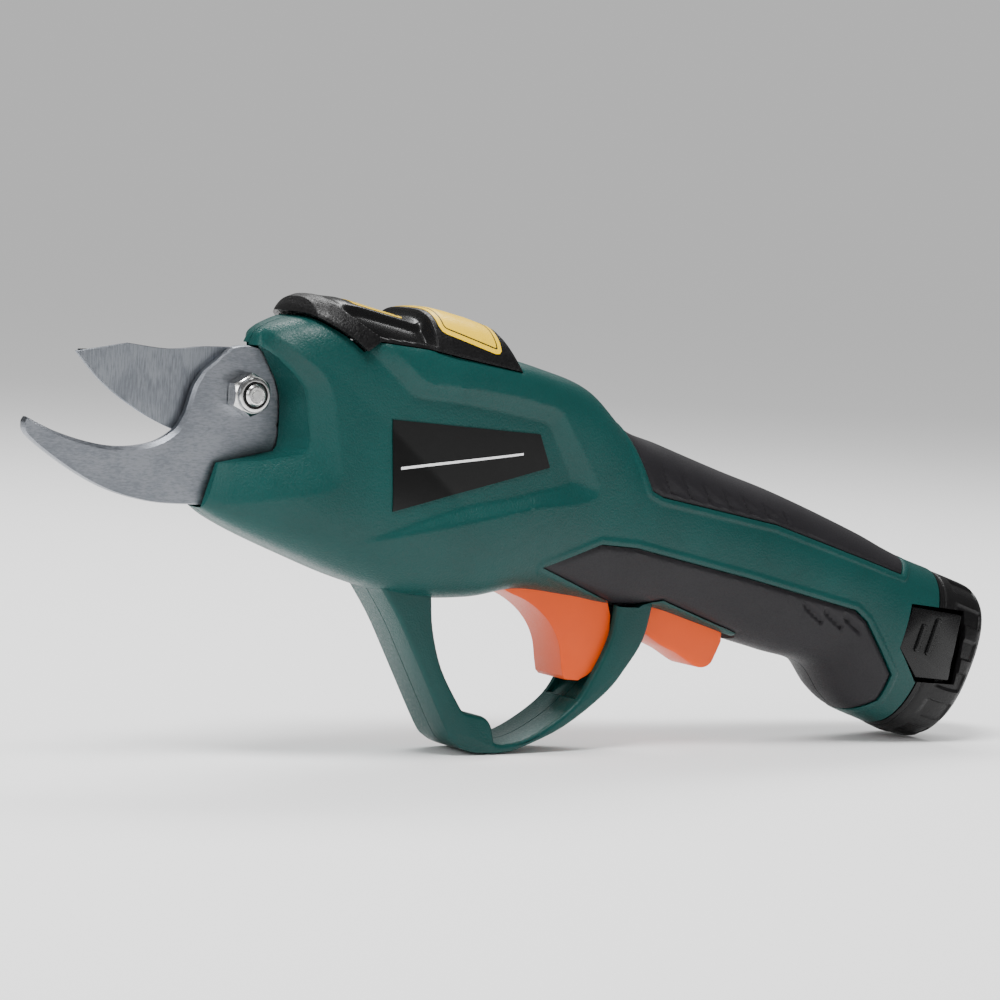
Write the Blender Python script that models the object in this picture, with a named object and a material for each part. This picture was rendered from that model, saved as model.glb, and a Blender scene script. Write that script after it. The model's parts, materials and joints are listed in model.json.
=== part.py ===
"""Battery electric pruner, built as an assembly of separate parts.

Dimensions below are in millimetres and turned into metres when a mesh is made.  The tool stands
on its trigger guard and on the rim of its battery cap.  X runs along the tool, blades at -X and
battery at +X, Z is up and y = 0 is the parting plane of the housing.  The origin is at the middle
of the tool's length and width, on the surface that it stands on.
"""
import math

import bmesh
import bpy
from mathutils import Vector

MM = 0.001
GAP = 0.3            # clearance between neighbouring pieces
SPLIT = 0.15         # half of the gap on the parting plane
WALL_HEAD = 2.4      # housing wall in the head
WALL_HANDLE = 2.8    # housing wall in the handle, behind the grips
GRIP = 1.4           # thickness of the soft grips
POCKET = 1.7         # depth of the grips' pockets in the housing

# ---------------------------------------------------------------- driving geometry
PIVOT = (-87.9, 96.1)            # blade pivot, x and z
MOTOR_TILT = math.radians(-13)   # motor axis, from the pivot towards the handle
HANDLE_TILT = math.radians(-20)  # handle and battery axis
PACK_END = (142.0, 25.2)         # where the battery axis meets the end of the cap

HOOK_Y = (-3.2, -0.3)
BLADE_Y = (0.3, 2.9)
HOOK_R = 12.6                    # back of the hook plate, round the pivot
BLADE_R = 12.4
GEAR_Y = (3.2, 8.6)
PLATE_Y = (8.9, 9.9)

GEAR_TEETH = 36                  # teeth that the sector would have on a full circle
PINION_TEETH = 8
MODULE = 1.25
GEAR_R = MODULE * GEAR_TEETH / 2
TOOTH_FACE = 4.0                 # width of the meshing teeth

TRIGGER_PIN = (-5.0, 49.0)
LEVER_PIN = (41.0, 43.0)
TRIGGER_HALF = 7.5
LEVER_HALF = 7.0
GUARD_HALF = 10.0
PIN_R = 1.5
PIN_END = 10.2

CELL_R = 6.95
CELL_LENGTH = 50.0
CELL_PITCH = 14.2
CASE_WALL = 0.75

SCREWS = [(-52.0, 56.0), (-16.0, 54.5), (24.0, 80.5), (-46.0, 105.2),
          (-8.0, 97.8), (51.0, 70.0), (74.0, 33.4), (108.0, 17.0)]
LATCH_INNER = 16.0
LATCH_OUTER = 18.2
STEM_INNER = 13.8                # inner end of a latch's stem, at rest
LATCH_TRAVEL = 2.0

POST_R = 2.6
SCREW_R = 1.3
HEAD_R = 2.1
SCREW_SEAT = 7.0                 # y of the counterbore's floor in the right housing half

# Body sections: top x, top z, bottom x, bottom z, half width, roundness exponents
# of the lower and of the upper half
SECTIONS = [
    (-85.6, 110.0, -99.8, 66.2, 8.6, 4.0, 4.0),
    (-84.0, 112.6, -95.0, 63.2, 11.8, 4.0, 4.2),
    (-79.2, 115.2, -85.8, 58.8, 16.2, 3.8, 4.5),
    (-70.0, 117.2, -72.0, 53.1, 20.5, 3.5, 5.0),
    (-55.0, 115.0, -55.5, 46.8, 22.6, 3.2, 5.2),
    (-38.0, 111.8, -39.0, 42.6, 23.0, 3.0, 5.6),
    (-20.0, 108.7, -21.0, 42.2, 22.8, 3.0, 5.6),
    (-4.0, 105.0, -6.0, 44.2, 21.8, 2.9, 5.0),
    (12.0, 99.8, 10.0, 42.0, 20.2, 2.7, 3.8),
    (26.0, 89.0, 24.0, 39.4, 19.2, 2.5, 2.8),
    (40.0, 84.2, 38.0, 38.0, 18.6, 2.4, 2.4),
    (60.0, 77.2, 53.0, 33.6, 18.5, 2.4, 2.4),
    (76.0, 72.0, 66.0, 29.4, 18.5, 2.4, 2.4),
    (92.0, 66.0, 80.0, 25.5, 18.5, 2.4, 2.4),
    (108.0, 59.5, 93.5, 21.6, 18.5, 2.4, 2.4),
    (117.0, 55.4, 101.0, 12.9, 18.5, 2.4, 2.4),
    (124.5, 52.3, 107.5, 8.2, 18.5, 2.4, 2.4),
    (133.5, 49.3, 117.5, 4.3, 18.4, 2.4, 2.4),
]
# Top of the cover along its middle: hood, dip and rear hump
COVER_TOP = [(-77.0, 114.0), (-75.2, 117.6), (-74.0, 120.0), (-72.4, 122.0), (-70.0, 122.9),
             (-66.9, 123.1), (-63.0, 122.7), (-58.0, 121.3), (-53.0, 119.6), (-43.4, 117.2),
             (-42.2, 119.0), (-39.6, 119.8), (-35.7, 120.1), (-32.0, 119.4), (-25.7, 117.9),
             (-19.4, 116.0), (-10.0, 112.4)]
COVER_POWER = [(-77.0, 2.3), (-71.0, 2.8), (-60.0, 3.3), (-39.0, 3.4), (-10.0, 3.4)]
COVER_OUTLINE = [(-75.6, 118.3), (-73.6, 117.8), (-70.4, 115.8), (-64.5, 112.0), (-60.9, 108.7),
                 (-56.7, 111.3), (-42.4, 109.7), (-33.6, 107.8), (-13.7, 104.1), (-16.4, 110.4),
                 (-17.6, 113.5), (-18.5, 140.0), (-75.6, 140.0)]

HOOK_OUTLINE_JAW = [(-149.1, 89.4), (-149.8, 87.7), (-148.6, 84.6), (-140.7, 78.7),
                    (-131.1, 73.1), (-122.2, 69.6), (-111.9, 67.3), (-100.5, 67.0)]
HOOK_OUTLINE_TAIL = [(-92.0, 65.8), (-84.0, 62.5), (-76.0, 60.6), (-64.5, 60.6), (-61.5, 64.0),
                     (-66.5, 76.0), (-72.5, 84.0)]
HOOK_INNER = [(-104.8, 90.3), (-107.7, 86.2), (-113.9, 83.0), (-122.7, 82.0), (-131.5, 83.1),
              (-141.0, 85.8)]
BLADE_EDGE = [(-94.0, 82.4), (-106.0, 86.1), (-117.0, 91.2), (-127.4, 98.3), (-134.9, 106.2)]
BLADE_BACK = [(-120.3, 108.6), (-111.4, 107.5), (-106.3, 107.4), (-98.9, 108.1), (-90.0, 108.1)]

PLATE_OUTLINE = [(-100.5, 90.0), (-99.0, 102.0), (-88.0, 107.6), (-79.0, 103.4),
                 (-76.0, 95.0), (-75.0, 88.0), (-72.0, 80.0), (-65.5, 75.5), (-63.5, 73.5),
                 (-64.2, 63.5), (-77.0, 64.0), (-79.5, 72.0), (-80.5, 82.0), (-93.0, 84.0)]
FRAME_SCREWS_LEFT = [(-77.0, 66.0), (-68.5, 66.0)]
FRAME_SCREWS_RIGHT = [(-75.0, 68.5), (-67.2, 69.5)]
SCOOP = [(-112.0, 109.2), (-86.4, 108.9), (-78.1, 104.3), (-75.1, 95.4), (-74.2, 87.6),
         (-76.0, 81.8), (-99.0, 77.9), (-112.0, 77.0)]
GUARD_OUTER = [(36.5, 38.0), (34.9, 30.5), (23.3, 15.5), (10.6, 6.7), (-2.2, 1.4), (-8.0, 0.0),
               (-15.0, 0.0), (-18.8, 0.6), (-22.9, 2.6), (-26.3, 6.5), (-27.7, 9.8), (-36.1, 25.0),
               (-42.6, 37.0), (-49.8, 46.5)]
GUARD_INNER = [(-33.5, 47.0), (-32.7, 42.8), (-31.8, 33.9), (-28.7, 23.5), (-21.1, 11.6),
               (-15.6, 10.3), (-13.2, 8.7), (-11.7, 5.1), (-10.7, 2.6), (-2.8, 3.6), (5.6, 7.5),
               (14.0, 13.3), (18.8, 20.3), (24.4, 31.6), (26.0, 42.0)]
TRIGGER_OUTLINE = [(-10.2, 45.0), (-7.7, 43.7), (-1.7, 41.1), (3.3, 37.6), (6.8, 33.6),
                   (9.0, 29.0), (10.0, 23.4), (10.6, 19.4), (15.5, 19.1), (18.4, 20.4),
                   (20.6, 22.1), (23.4, 26.5), (25.2, 31.0), (25.2, 37.0), (23.5, 43.5),
                   (14.0, 47.0), (2.0, 51.8), (-5.5, 53.0), (-10.0, 49.5)]
LEVER_OUTLINE = [(36.3, 31.8), (42.2, 28.3), (47.7, 25.9), (52.6, 23.0), (56.8, 21.7),
                 (59.8, 22.8), (62.6, 29.0), (62.6, 33.5), (59.0, 38.0), (47.4, 41.4),
                 (44.4, 45.4), (40.6, 46.6), (37.6, 45.0), (36.3, 40.0)]
TRIGGER_SLOT = [(-10.9, 38.0), (-10.9, 56.0), (29.5, 50.0), (30.4, 40.0), (27.6, 29.5),
                (23.0, 20.4), (16.0, 14.0), (0.0, 14.0)]
LEVER_SLOT = [(35.4, 20.0), (35.4, 47.8), (47.0, 47.8), (49.0, 45.0), (66.6, 45.0), (66.6, 20.0)]
UPPER_GRIP = [(24.3, 100.0), (24.3, 88.6), (30.1, 72.4), (33.8, 70.6), (72.5, 62.9),
              (118.0, 48.4), (122.5, 52.4), (122.5, 70.0)]
LOWER_GRIP = [(-3.0, 51.3), (30.4, 38.3), (33.6, 40.2), (39.3, 41.6), (65.7, 31.7),
              (64.5, 20.0), (106.8, 0.0), (106.8, 8.3), (112.0, 12.3), (113.6, 19.9),
              (103.5, 35.3), (99.5, 38.5), (61.7, 48.1), (25.6, 56.4), (14.0, 57.5)]
LATCH_OUTLINE = [(137.6, 36.6), (120.2, 39.3), (116.2, 27.8), (122.3, 19.0), (134.0, 17.8)]
LATCH_NOTCH = [(140.0, 37.6), (119.7, 40.2), (115.5, 27.7), (121.9, 17.8), (136.0, 16.6)]
SIDE_LABEL = [(-52.9, 91.0), (-7.4, 87.5), (-3.8, 78.6), (-52.3, 66.9)]


# ---------------------------------------------------------------- small geometry helpers
def clear_scene():
    for item in list(bpy.data.objects):
        bpy.data.objects.remove(item, do_unlink=True)


def material(name, colour, roughness, metallic=0.0):
    made = bpy.data.materials.get(name) or bpy.data.materials.new(name)
    made.use_nodes = True
    shader = made.node_tree.nodes["Principled BSDF"]
    shader.inputs["Base Color"].default_value = (*colour, 1.0)
    shader.inputs["Roughness"].default_value = roughness
    shader.inputs["Metallic"].default_value = metallic
    return made


GREEN = material("green_plastic", (0.006, 0.085, 0.075), 0.45)
BLACK = material("black_plastic", (0.012, 0.012, 0.013), 0.45)
SOFT = material("soft_grip", (0.028, 0.026, 0.030), 0.7)
ORANGE = material("orange_plastic", (0.85, 0.12, 0.02), 0.35)
STICKER = material("black_sticker", (0.004, 0.004, 0.004), 0.3)
STEEL = material("blade_steel", (0.36, 0.38, 0.41), 0.35, 1.0)
ZINC = material("zinc_steel", (0.62, 0.62, 0.60), 0.3, 1.0)
CAST = material("cast_aluminium", (0.45, 0.46, 0.47), 0.5, 1.0)
BRONZE = material("bronze", (0.55, 0.36, 0.16), 0.4, 1.0)
COPPER = material("contact_brass", (0.78, 0.55, 0.25), 0.3, 1.0)
BOARD = material("circuit_board", (0.01, 0.16, 0.05), 0.5)
WRAP = material("cell_wrap", (0.10, 0.20, 0.55), 0.4)
RED = material("red_wire", (0.55, 0.02, 0.02), 0.5)


def new_object(name, verts, faces, mat, origin=(0.0, 0.0, 0.0)):
    """An object from millimetre coordinates, with its origin at the given place."""
    place = Vector(origin)
    mesh = bpy.data.meshes.new(name)
    mesh.from_pydata([(Vector(v) - place) * MM for v in verts], [], faces)
    mesh.validate()
    piece = bpy.data.objects.new(name, mesh)
    piece.location = place * MM
    piece.data.materials.append(mat)
    bpy.context.scene.collection.objects.link(piece)
    face_out(piece)
    return piece


def face_out(piece):
    work = bmesh.new()
    work.from_mesh(piece.data)
    bmesh.ops.recalc_face_normals(work, faces=work.faces)
    if work.calc_volume(signed=True) < 0:
        bmesh.ops.reverse_faces(work, faces=work.faces)
    work.to_mesh(piece.data)
    work.free()


def loft(name, rings, mat, origin=(0.0, 0.0, 0.0)):
    """A closed solid through rings that all have the same number of points."""
    count = len(rings[0])
    verts = [point for ring in rings for point in ring]
    faces = []
    for row in range(len(rings) - 1):
        for col in range(count):
            a = row * count + col
            b = row * count + (col + 1) % count
            faces.append((a, b, b + count, a + count))
    faces.append(tuple(range(count)))
    last = (len(rings) - 1) * count
    faces.append(tuple(last + i for i in range(count)))
    return new_object(name, verts, faces, mat, origin)


def prism(name, outline, y0, y1, mat, origin=(0.0, 0.0, 0.0)):
    """An outline in the XZ plane, extruded along Y."""
    rings = [[(x, y, z) for x, z in outline] for y in (y0, y1)]
    return loft(name, rings, mat, origin)


def box(name, low, high, mat):
    outline = [(low[0], low[2]), (high[0], low[2]), (high[0], high[2]), (low[0], high[2])]
    return prism(name, outline, low[1], high[1], mat)


def circle(centre, radius, count, start=0.0):
    steps = [start + 2 * math.pi * i / count for i in range(count)]
    return [(centre[0] + radius * math.cos(a), centre[1] + radius * math.sin(a)) for a in steps]


def arc(centre, radius, start, end, count):
    """Points on an arc in the XZ plane, angles in degrees."""
    steps = [math.radians(start + (end - start) * i / (count - 1)) for i in range(count)]
    return [(centre[0] + radius * math.cos(a), centre[1] + radius * math.sin(a)) for a in steps]


def round_y(name, centre, profile, mat, count=24, start=0.0):
    """A turned solid about a line along Y through centre; profile lists (y, radius)."""
    rings = [[(x, y, z) for x, z in circle(centre, radius, count, start)] for y, radius in profile]
    return loft(name, rings, mat, (centre[0], profile[0][0], centre[1]))


def axis_frame(start, tilt):
    """Origin, along, side and up directions of an axis lying in the parting plane."""
    along = Vector((math.cos(tilt), 0.0, math.sin(tilt)))
    up = Vector((-math.sin(tilt), 0.0, math.cos(tilt)))
    return Vector((start[0], 0.0, start[1])), along, Vector((0.0, 1.0, 0.0)), up


def along_axis(frame, distance, side, height):
    start, along, across, up = frame
    return tuple(start + along * distance + across * side + up * height)


def axis_loft(name, frame, stations, mat, origin_at=None):
    """A loft along an axis; stations list (distance, [(side, height), ...])."""
    rings = [[along_axis(frame, t, s, h) for s, h in ring] for t, ring in stations]
    origin = along_axis(frame, stations[0][0] if origin_at is None else origin_at, 0.0, 0.0)
    return loft(name, rings, mat, origin)


def axis_round(name, frame, profile, mat, count=24):
    """A turned solid about an axis; profile lists (distance, radius)."""
    stations = [(t, circle((0.0, 0.0), radius, count)) for t, radius in profile]
    return axis_loft(name, frame, stations, mat)


def axis_box(name, frame, low, high, mat):
    """A box in axis coordinates: distance, side, height."""
    ring = [(low[1], low[2]), (high[1], low[2]), (high[1], high[2]), (low[1], high[2])]
    return axis_loft(name, frame, [(low[0], ring), (high[0], ring)], mat)


def offset(outline, amount):
    """The outline moved outwards by amount, corner by corner."""
    area = sum(x0 * z1 - x1 * z0 for (x0, z0), (x1, z1) in zip(outline, outline[1:] + outline[:1]))
    sign = 1.0 if area > 0 else -1.0
    grown = []
    for i, here in enumerate(outline):
        before = Vector(outline[i - 1])
        after = Vector(outline[(i + 1) % len(outline)])
        here = Vector(here)
        a = (here - before).normalized()
        b = (after - here).normalized()
        normal_a = Vector((a.y, -a.x)) * sign
        normal_b = Vector((b.y, -b.x)) * sign
        middle = normal_a + normal_b
        grown.append(tuple(here + middle * (amount / max(0.5, 1.0 + normal_a.dot(normal_b)))))
    return grown


def boolean(target, cutter, operation="DIFFERENCE", keep=False):
    """Combine two objects and keep the result as plain geometry."""
    step = target.modifiers.new("combine", "BOOLEAN")
    step.operation = operation
    step.solver = "EXACT"
    step.object = cutter
    bpy.context.view_layer.update()
    evaluated = target.evaluated_get(bpy.context.evaluated_depsgraph_get())
    result = bpy.data.meshes.new_from_object(evaluated)
    target.modifiers.clear()
    target.data = result
    if not keep:
        bpy.data.objects.remove(cutter, do_unlink=True)
    return target


def tidy_mesh(piece, distance=0.01):
    """Weld points that a combination left almost on top of each other."""
    work = bmesh.new()
    work.from_mesh(piece.data)
    bmesh.ops.remove_doubles(work, verts=work.verts, dist=distance * MM)
    bmesh.ops.dissolve_degenerate(work, edges=work.edges, dist=distance * MM)
    work.to_mesh(piece.data)
    work.free()
    return piece


def rename(piece, name, mat):
    piece.name = name
    piece.data.name = name
    piece.data.materials.clear()
    piece.data.materials.append(mat)
    return piece


def soften(piece, width, segments=1):
    """Bevel the piece's sharp edges."""
    step = piece.modifiers.new("soft_edges", "BEVEL")
    step.width = width * MM
    step.segments = segments
    step.limit_method = "ANGLE"
    step.angle_limit = math.radians(50)
    return piece


# ---------------------------------------------------------------- body sections
def catmull(points, place):
    """Smooth interpolation in a list of tuples; place counts list entries."""
    last = len(points) - 1
    i = min(max(int(math.floor(place)), 0), last - 1)
    t = place - i
    p0 = points[max(i - 1, 0)]
    p1 = points[i]
    p2 = points[i + 1]
    p3 = points[min(i + 2, last)]
    mixed = []
    for a, b, c, d in zip(p0, p1, p2, p3):
        mixed.append(b + 0.5 * t * (c - a + t * (2 * a - 5 * b + 4 * c - d
                                                 + t * (3 * (b - c) + d - a))))
    return mixed


def section_ring(section, inset, count):
    """One superellipse ring between a section's top and bottom points."""
    top_x, top_z, low_x, low_z, half, low_power, top_power = section
    middle = Vector(((top_x + low_x) / 2, (top_z + low_z) / 2))
    up = Vector((top_x - low_x, top_z - low_z)) / 2
    height = up.length
    up.normalize()
    ring = []
    for i in range(count):
        angle = 2 * math.pi * (i + 0.5) / count
        power = top_power if math.sin(angle) > 0 else low_power
        side = math.copysign(abs(math.cos(angle)) ** (2 / power), math.cos(angle))
        rise = math.copysign(abs(math.sin(angle)) ** (2 / power), math.sin(angle))
        at = middle + up * (rise * (height - inset))
        ring.append((at.x, side * (half - inset), at.y))
    return ring


def body_loft(name, inset, first=0.0, steps=26, count=28, extend=0.0):
    """The body's shape, taken in by inset, which may be a function of the place."""
    last = len(SECTIONS) - 1
    rings = []
    for i in range(steps + 1):
        place = first + (last - first) * i / steps
        depth = inset(place) if callable(inset) else inset
        rings.append(section_ring(catmull(SECTIONS, place), depth, count))
    if extend:
        push = Vector((math.cos(HANDLE_TILT), 0.0, math.sin(HANDLE_TILT))) * extend
        rings.append([tuple(Vector(point) + push) for point in rings[-1]])
    return loft(name, rings, GREEN)


def wall(place):
    """Housing wall: thin in the head, thicker where the grips lie on it."""
    blend = min(max((place - 5.5) / 1.0, 0.0), 1.0)
    return WALL_HEAD + (WALL_HANDLE - WALL_HEAD) * blend


def height_at(points, x):
    """Linear interpolation of an outline's z at x."""
    for (x0, z0), (x1, z1) in zip(points, points[1:]):
        if x0 <= x <= x1:
            return z0 + (z1 - z0) * (x - x0) / (x1 - x0)
    return points[0][1] if x < points[0][0] else points[-1][1]


def half_space(name, side):
    """A large block on one side of the parting plane."""
    if side < 0:
        return box(name, (-200.0, -60.0, -20.0), (200.0, -SPLIT, 160.0), GREEN)
    return box(name, (-200.0, SPLIT, -20.0), (200.0, 60.0, 160.0), GREEN)


# ---------------------------------------------------------------- housing, cover, grips
MOTOR = axis_frame(PIVOT, MOTOR_TILT)
PACK = axis_frame(PACK_END, HANDLE_TILT)


def ring_layer(name, outset, inset):
    """The skin of the body between two depths."""
    layer = body_loft(name, -outset)
    return boolean(layer, body_loft(name + "_core", inset, extend=2.0))


def housing_blank():
    """Both halves in one piece, before the parting cut."""
    cavity = body_loft("cavity", wall, first=3.0, steps=20, count=20, extend=12.0)
    for i, (x, z) in enumerate(SCREWS):
        boolean(cavity, round_y(f"post_{i}", (x, z), [(-40, POST_R), (40, POST_R)], GREEN, 12))
    for x, z in (TRIGGER_PIN, LEVER_PIN):
        for y0, y1 in ((-40, -8.4), (8.4, 40)):
            boolean(cavity, round_y("pin_post", (x, z), [(y0, 3.4), (y1, 3.4)], GREEN, 12))
    shell = boolean(body_loft("housing", 0.0), cavity)
    outline = GUARD_OUTER + GUARD_INNER
    guard = soften(prism("guard", outline, -GUARD_HALF, GUARD_HALF, GREEN), 1.2)
    boolean(shell, guard, "UNION")
    cut_housing(shell)
    return tidy_mesh(shell)


def cut_control_slots(piece):
    """Slots that the trigger and the lock lever move in."""
    width = TRIGGER_HALF + GAP
    boolean(piece, prism("trigger_slot", TRIGGER_SLOT, -width, width, GREEN))
    width = LEVER_HALF + GAP
    boolean(piece, prism("lever_slot", LEVER_SLOT, -width, width, GREEN))


def cut_housing(shell):
    """Openings that both halves share."""
    boolean(shell, prism("scoop", SCOOP, -40.0, 40.0, GREEN))
    blades = [(-112.0, 67.4), (-100.5, 66.5), (-92.0, 65.3), (-84.0, 62.0), (-76.0, 60.1),
              (-60.0, 60.1), (-60.0, 104.0), (-72.5, 104.0), (-78.0, 108.8), (-112.0, 109.2)]
    boolean(shell, prism("blade_slot", blades, -3.9, 3.9, GREEN))
    cut_control_slots(shell)
    lip = offset(COVER_OUTLINE, GAP)
    boolean(shell, prism("cover_gap", lip, -40.0, 40.0, GREEN))
    for outline in (UPPER_GRIP, LOWER_GRIP):
        skin = ring_layer("pocket", 1.0, POCKET)
        boolean(skin, prism("grip_gap", offset(outline, GAP), -40.0, 40.0, GREEN), "INTERSECT")
        boolean(shell, skin)
    for side in (-1, 1):
        y0, y1 = sorted((side * 12.0, side * 40.0))
        boolean(shell, prism("latch_gap", LATCH_NOTCH, y0, y1, GREEN))
    for x, z in (TRIGGER_PIN, LEVER_PIN):
        radius = PIN_R + GAP
        ends = [(-PIN_END - GAP, radius), (PIN_END + GAP, radius)]
        boolean(shell, round_y("pin_hole", (x, z), ends, GREEN, 12))


def make_housing():
    left = housing_blank()
    right = left.copy()
    right.data = left.data.copy()
    bpy.context.scene.collection.objects.link(right)
    boolean(left, half_space("left_space", -1), "INTERSECT")
    boolean(right, half_space("right_space", 1), "INTERSECT")
    hole = SCREW_R + GAP
    for x, z in SCREWS:
        boolean(left, round_y("blind_hole", (x, z), [(-9.6, hole), (5.0, hole)], GREEN, 12))
        stepped = [(-5.0, hole), (SCREW_SEAT, hole), (SCREW_SEAT, HEAD_R + GAP),
                   (40.0, HEAD_R + GAP)]
        boolean(right, round_y("screw_hole", (x, z), stepped, GREEN, 12))
    gear_room = [(-112.0, 77.0), (-83.0, 79.5), (-83.0, 70.0), (-60.0, 70.0), (-60.0, 104.0),
                 (-63.0, 107.6), (-66.0, 109.6), (-76.0, 109.6), (-112.0, 109.0)]
    boolean(right, prism("gear_room", gear_room, -1.0, PLATE_Y[1] + 0.4, GREEN))
    foot_room = [(-81.4, 60.9), (-60.0, 60.9), (-60.0, 75.5), (-81.4, 75.5)]
    boolean(right, prism("foot_room", foot_room, -1.0, 12.6, GREEN))
    boolean(left, prism("foot_room", foot_room, -6.2, 1.0, GREEN))
    rename(tidy_mesh(left), "left_housing", GREEN)
    rename(tidy_mesh(right), "right_housing", GREEN)


def make_cover():
    def rings(inset):
        made = []
        for i in range(31):
            x = -77.0 + 64.0 * i / 30
            low_z, half, low_power = catmull(SECTIONS, section_place(x))[3:6]
            section = (x, height_at(COVER_TOP, x), x, low_z, half, low_power,
                       height_at(COVER_POWER, x))
            made.append(section_ring(section, inset, 32))
        return made
    cover = loft("top_cover", rings(0.0), BLACK)
    boolean(cover, prism("cover_cut", COVER_OUTLINE, -40.0, 40.0, BLACK), "INTERSECT")
    inner = loft("cover_inner", rings(2.2), BLACK)
    trimmed = prism("inner_ends", [(-72.0, 60.0), (-19.8, 60.0), (-19.8, 140.0), (-72.0, 140.0)],
                    -40.0, 40.0, BLACK)
    boolean(inner, trimmed, "INTERSECT")
    boolean(cover, inner)
    rename(tidy_mesh(cover), "top_cover", BLACK)


def section_place(x):
    """The place in the section list whose middle lies at x."""
    low, high = 0.0, len(SECTIONS) - 1.0
    for _ in range(40):
        middle = (low + high) / 2
        section = catmull(SECTIONS, middle)
        if (section[0] + section[2]) / 2 < x:
            low = middle
        else:
            high = middle
    return (low + high) / 2


def make_grips():
    for label, outline in (("upper_grip", UPPER_GRIP), ("lower_grip", LOWER_GRIP)):
        for side, word in ((-1, "left"), (1, "right")):
            skin = ring_layer(label, 0.0, GRIP)
            boolean(skin, prism("grip_cut", outline, -40.0, 40.0, SOFT), "INTERSECT")
            boolean(skin, half_space("grip_side", side), "INTERSECT")
            if outline is LOWER_GRIP:
                cut_control_slots(skin)
            rename(tidy_mesh(skin), f"{label}_{word}", SOFT)


def make_stickers():
    """Thin plates that lie 0.3 mm off the surfaces they cover."""
    for side, word in ((-1, "left"), (1, "right")):
        y0, y1 = sorted((side * 23.35, side * 23.75))
        sticker = prism(f"side_label_{word}", SIDE_LABEL, y0, y1, STICKER)
        sticker.location.y -= side * 0.9 * MM
        blank = prism("label_room", offset(SIDE_LABEL, 0.6), side * 22.1, side * 40.0, GREEN)
        boolean(bpy.data.objects[f"{word}_housing"], blank)


def make_screws():
    for i, (x, z) in enumerate(SCREWS):
        profile = [(-9.0, 1.0), (-8.0, SCREW_R), (SCREW_SEAT + GAP, SCREW_R),
                   (SCREW_SEAT + GAP, HEAD_R), (SCREW_SEAT + 2.2, HEAD_R),
                   (SCREW_SEAT + 2.8, 1.2)]
        round_y(f"housing_screw_{i + 1}", (x, z), profile, ZINC, 12)


# ---------------------------------------------------------------- blades and pivot
def make_blades():
    back = arc(PIVOT, HOOK_R, 108.0, -40.0, 12)
    hook_rear = [(-99.7, 101.8)] + back
    jaw_root = [(-103.6, 93.8)]
    outline = HOOK_OUTLINE_JAW + HOOK_OUTLINE_TAIL + list(reversed(hook_rear)) + jaw_root + HOOK_INNER
    hook = prism("hook_blade", outline, *HOOK_Y, STEEL)
    boolean(hook, round_y("hook_bore", PIVOT, [(-6, 3.3), (2, 3.3)], STEEL, 20))
    for spot in FRAME_SCREWS_LEFT:
        boolean(hook, round_y("hook_hole", spot, [(-6, 2.3), (2, 2.3)], STEEL, 12))

    circle_back = arc(PIVOT, BLADE_R, 90.0, -110.0, 16)
    outline = BLADE_EDGE + BLADE_BACK + circle_back
    blade = prism("cutting_blade", outline, *BLADE_Y, STEEL, (PIVOT[0], 0.0, PIVOT[1]))
    boolean(blade, round_y("blade_bore", PIVOT, [(-2, 4.6), (6, 4.6)], STEEL, 20))
    ring_y("pivot_bush", PIVOT, BLADE_Y[0], GEAR_Y[1], 4.3, 3.3, BRONZE)


def ring_y(name, centre, y0, y1, outer, inner, mat, count=20):
    ring = round_y(name, centre, [(y0, outer), (y1, outer)], mat, count)
    boolean(ring, round_y("ring_bore", centre, [(y0 - 3, inner), (y1 + 3, inner)], mat, count))
    ring.name = name
    return ring


def make_sector():
    """Toothed sector on the blade's back, with face teeth that point at the motor axis."""
    start, end = -58.0, -4.0
    web = arc(PIVOT, 8.0, 40.0, 260.0, 12) + arc(PIVOT, GEAR_R + 2.0, start, end, 16)
    sector = prism("blade_gear", web, 6.5, GEAR_Y[1], STEEL, (PIVOT[0], 0.0, PIVOT[1]))
    hub = round_y("gear_hub", PIVOT, [(GEAR_Y[0], 8.0), (GEAR_Y[1] - 0.5, 8.0)], STEEL, 24)
    boolean(sector, hub, "UNION")
    pitch = 360.0 / GEAR_TEETH
    tilt = math.degrees(MOTOR_TILT)
    inner, outer = GEAR_R - TOOTH_FACE / 2, GEAR_R + TOOTH_FACE / 2 - 0.3
    for k in range(-4, 1):
        middle = tilt + k * pitch
        rings = []
        for y, half in ((3.95, 1.0), (6.9, 2.6)):
            corners = [(inner, middle - half), (outer, middle - half),
                       (outer, middle + half), (inner, middle + half)]
            rings.append([(PIVOT[0] + r * math.cos(math.radians(a)), y,
                           PIVOT[1] + r * math.sin(math.radians(a))) for r, a in corners])
        boolean(sector, loft("tooth", rings, STEEL), "UNION")
    boolean(sector, round_y("gear_bore", PIVOT, [(0, 4.6), (12, 4.6)], STEEL, 20))
    rename(tidy_mesh(sector), "blade_gear", STEEL)


def make_pinion():
    """Output shaft of the gearbox with its pinion; a tooth gap faces the sector."""
    half_pitch = math.pi / PINION_TEETH
    ring = []
    for k in range(PINION_TEETH):
        middle = 2 * math.pi * k / PINION_TEETH + half_pitch
        for shift, radius in ((-0.62, 3.5), (-0.22, 5.9), (0.22, 5.9), (0.62, 3.5)):
            angle = middle + shift * half_pitch
            ring.append((radius * math.cos(angle), radius * math.sin(angle)))
    face = TOOTH_FACE / 2
    shaft = axis_loft("output_pinion", MOTOR, [(GEAR_R - face, ring), (GEAR_R + face, ring)], STEEL)
    rod = axis_round("rod", MOTOR, [(GEAR_R - face - 0.6, 2.6), (38.0, 2.6)], STEEL, 16)
    boolean(shaft, rod, "UNION")
    rename(shaft, "output_pinion", STEEL)


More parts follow.
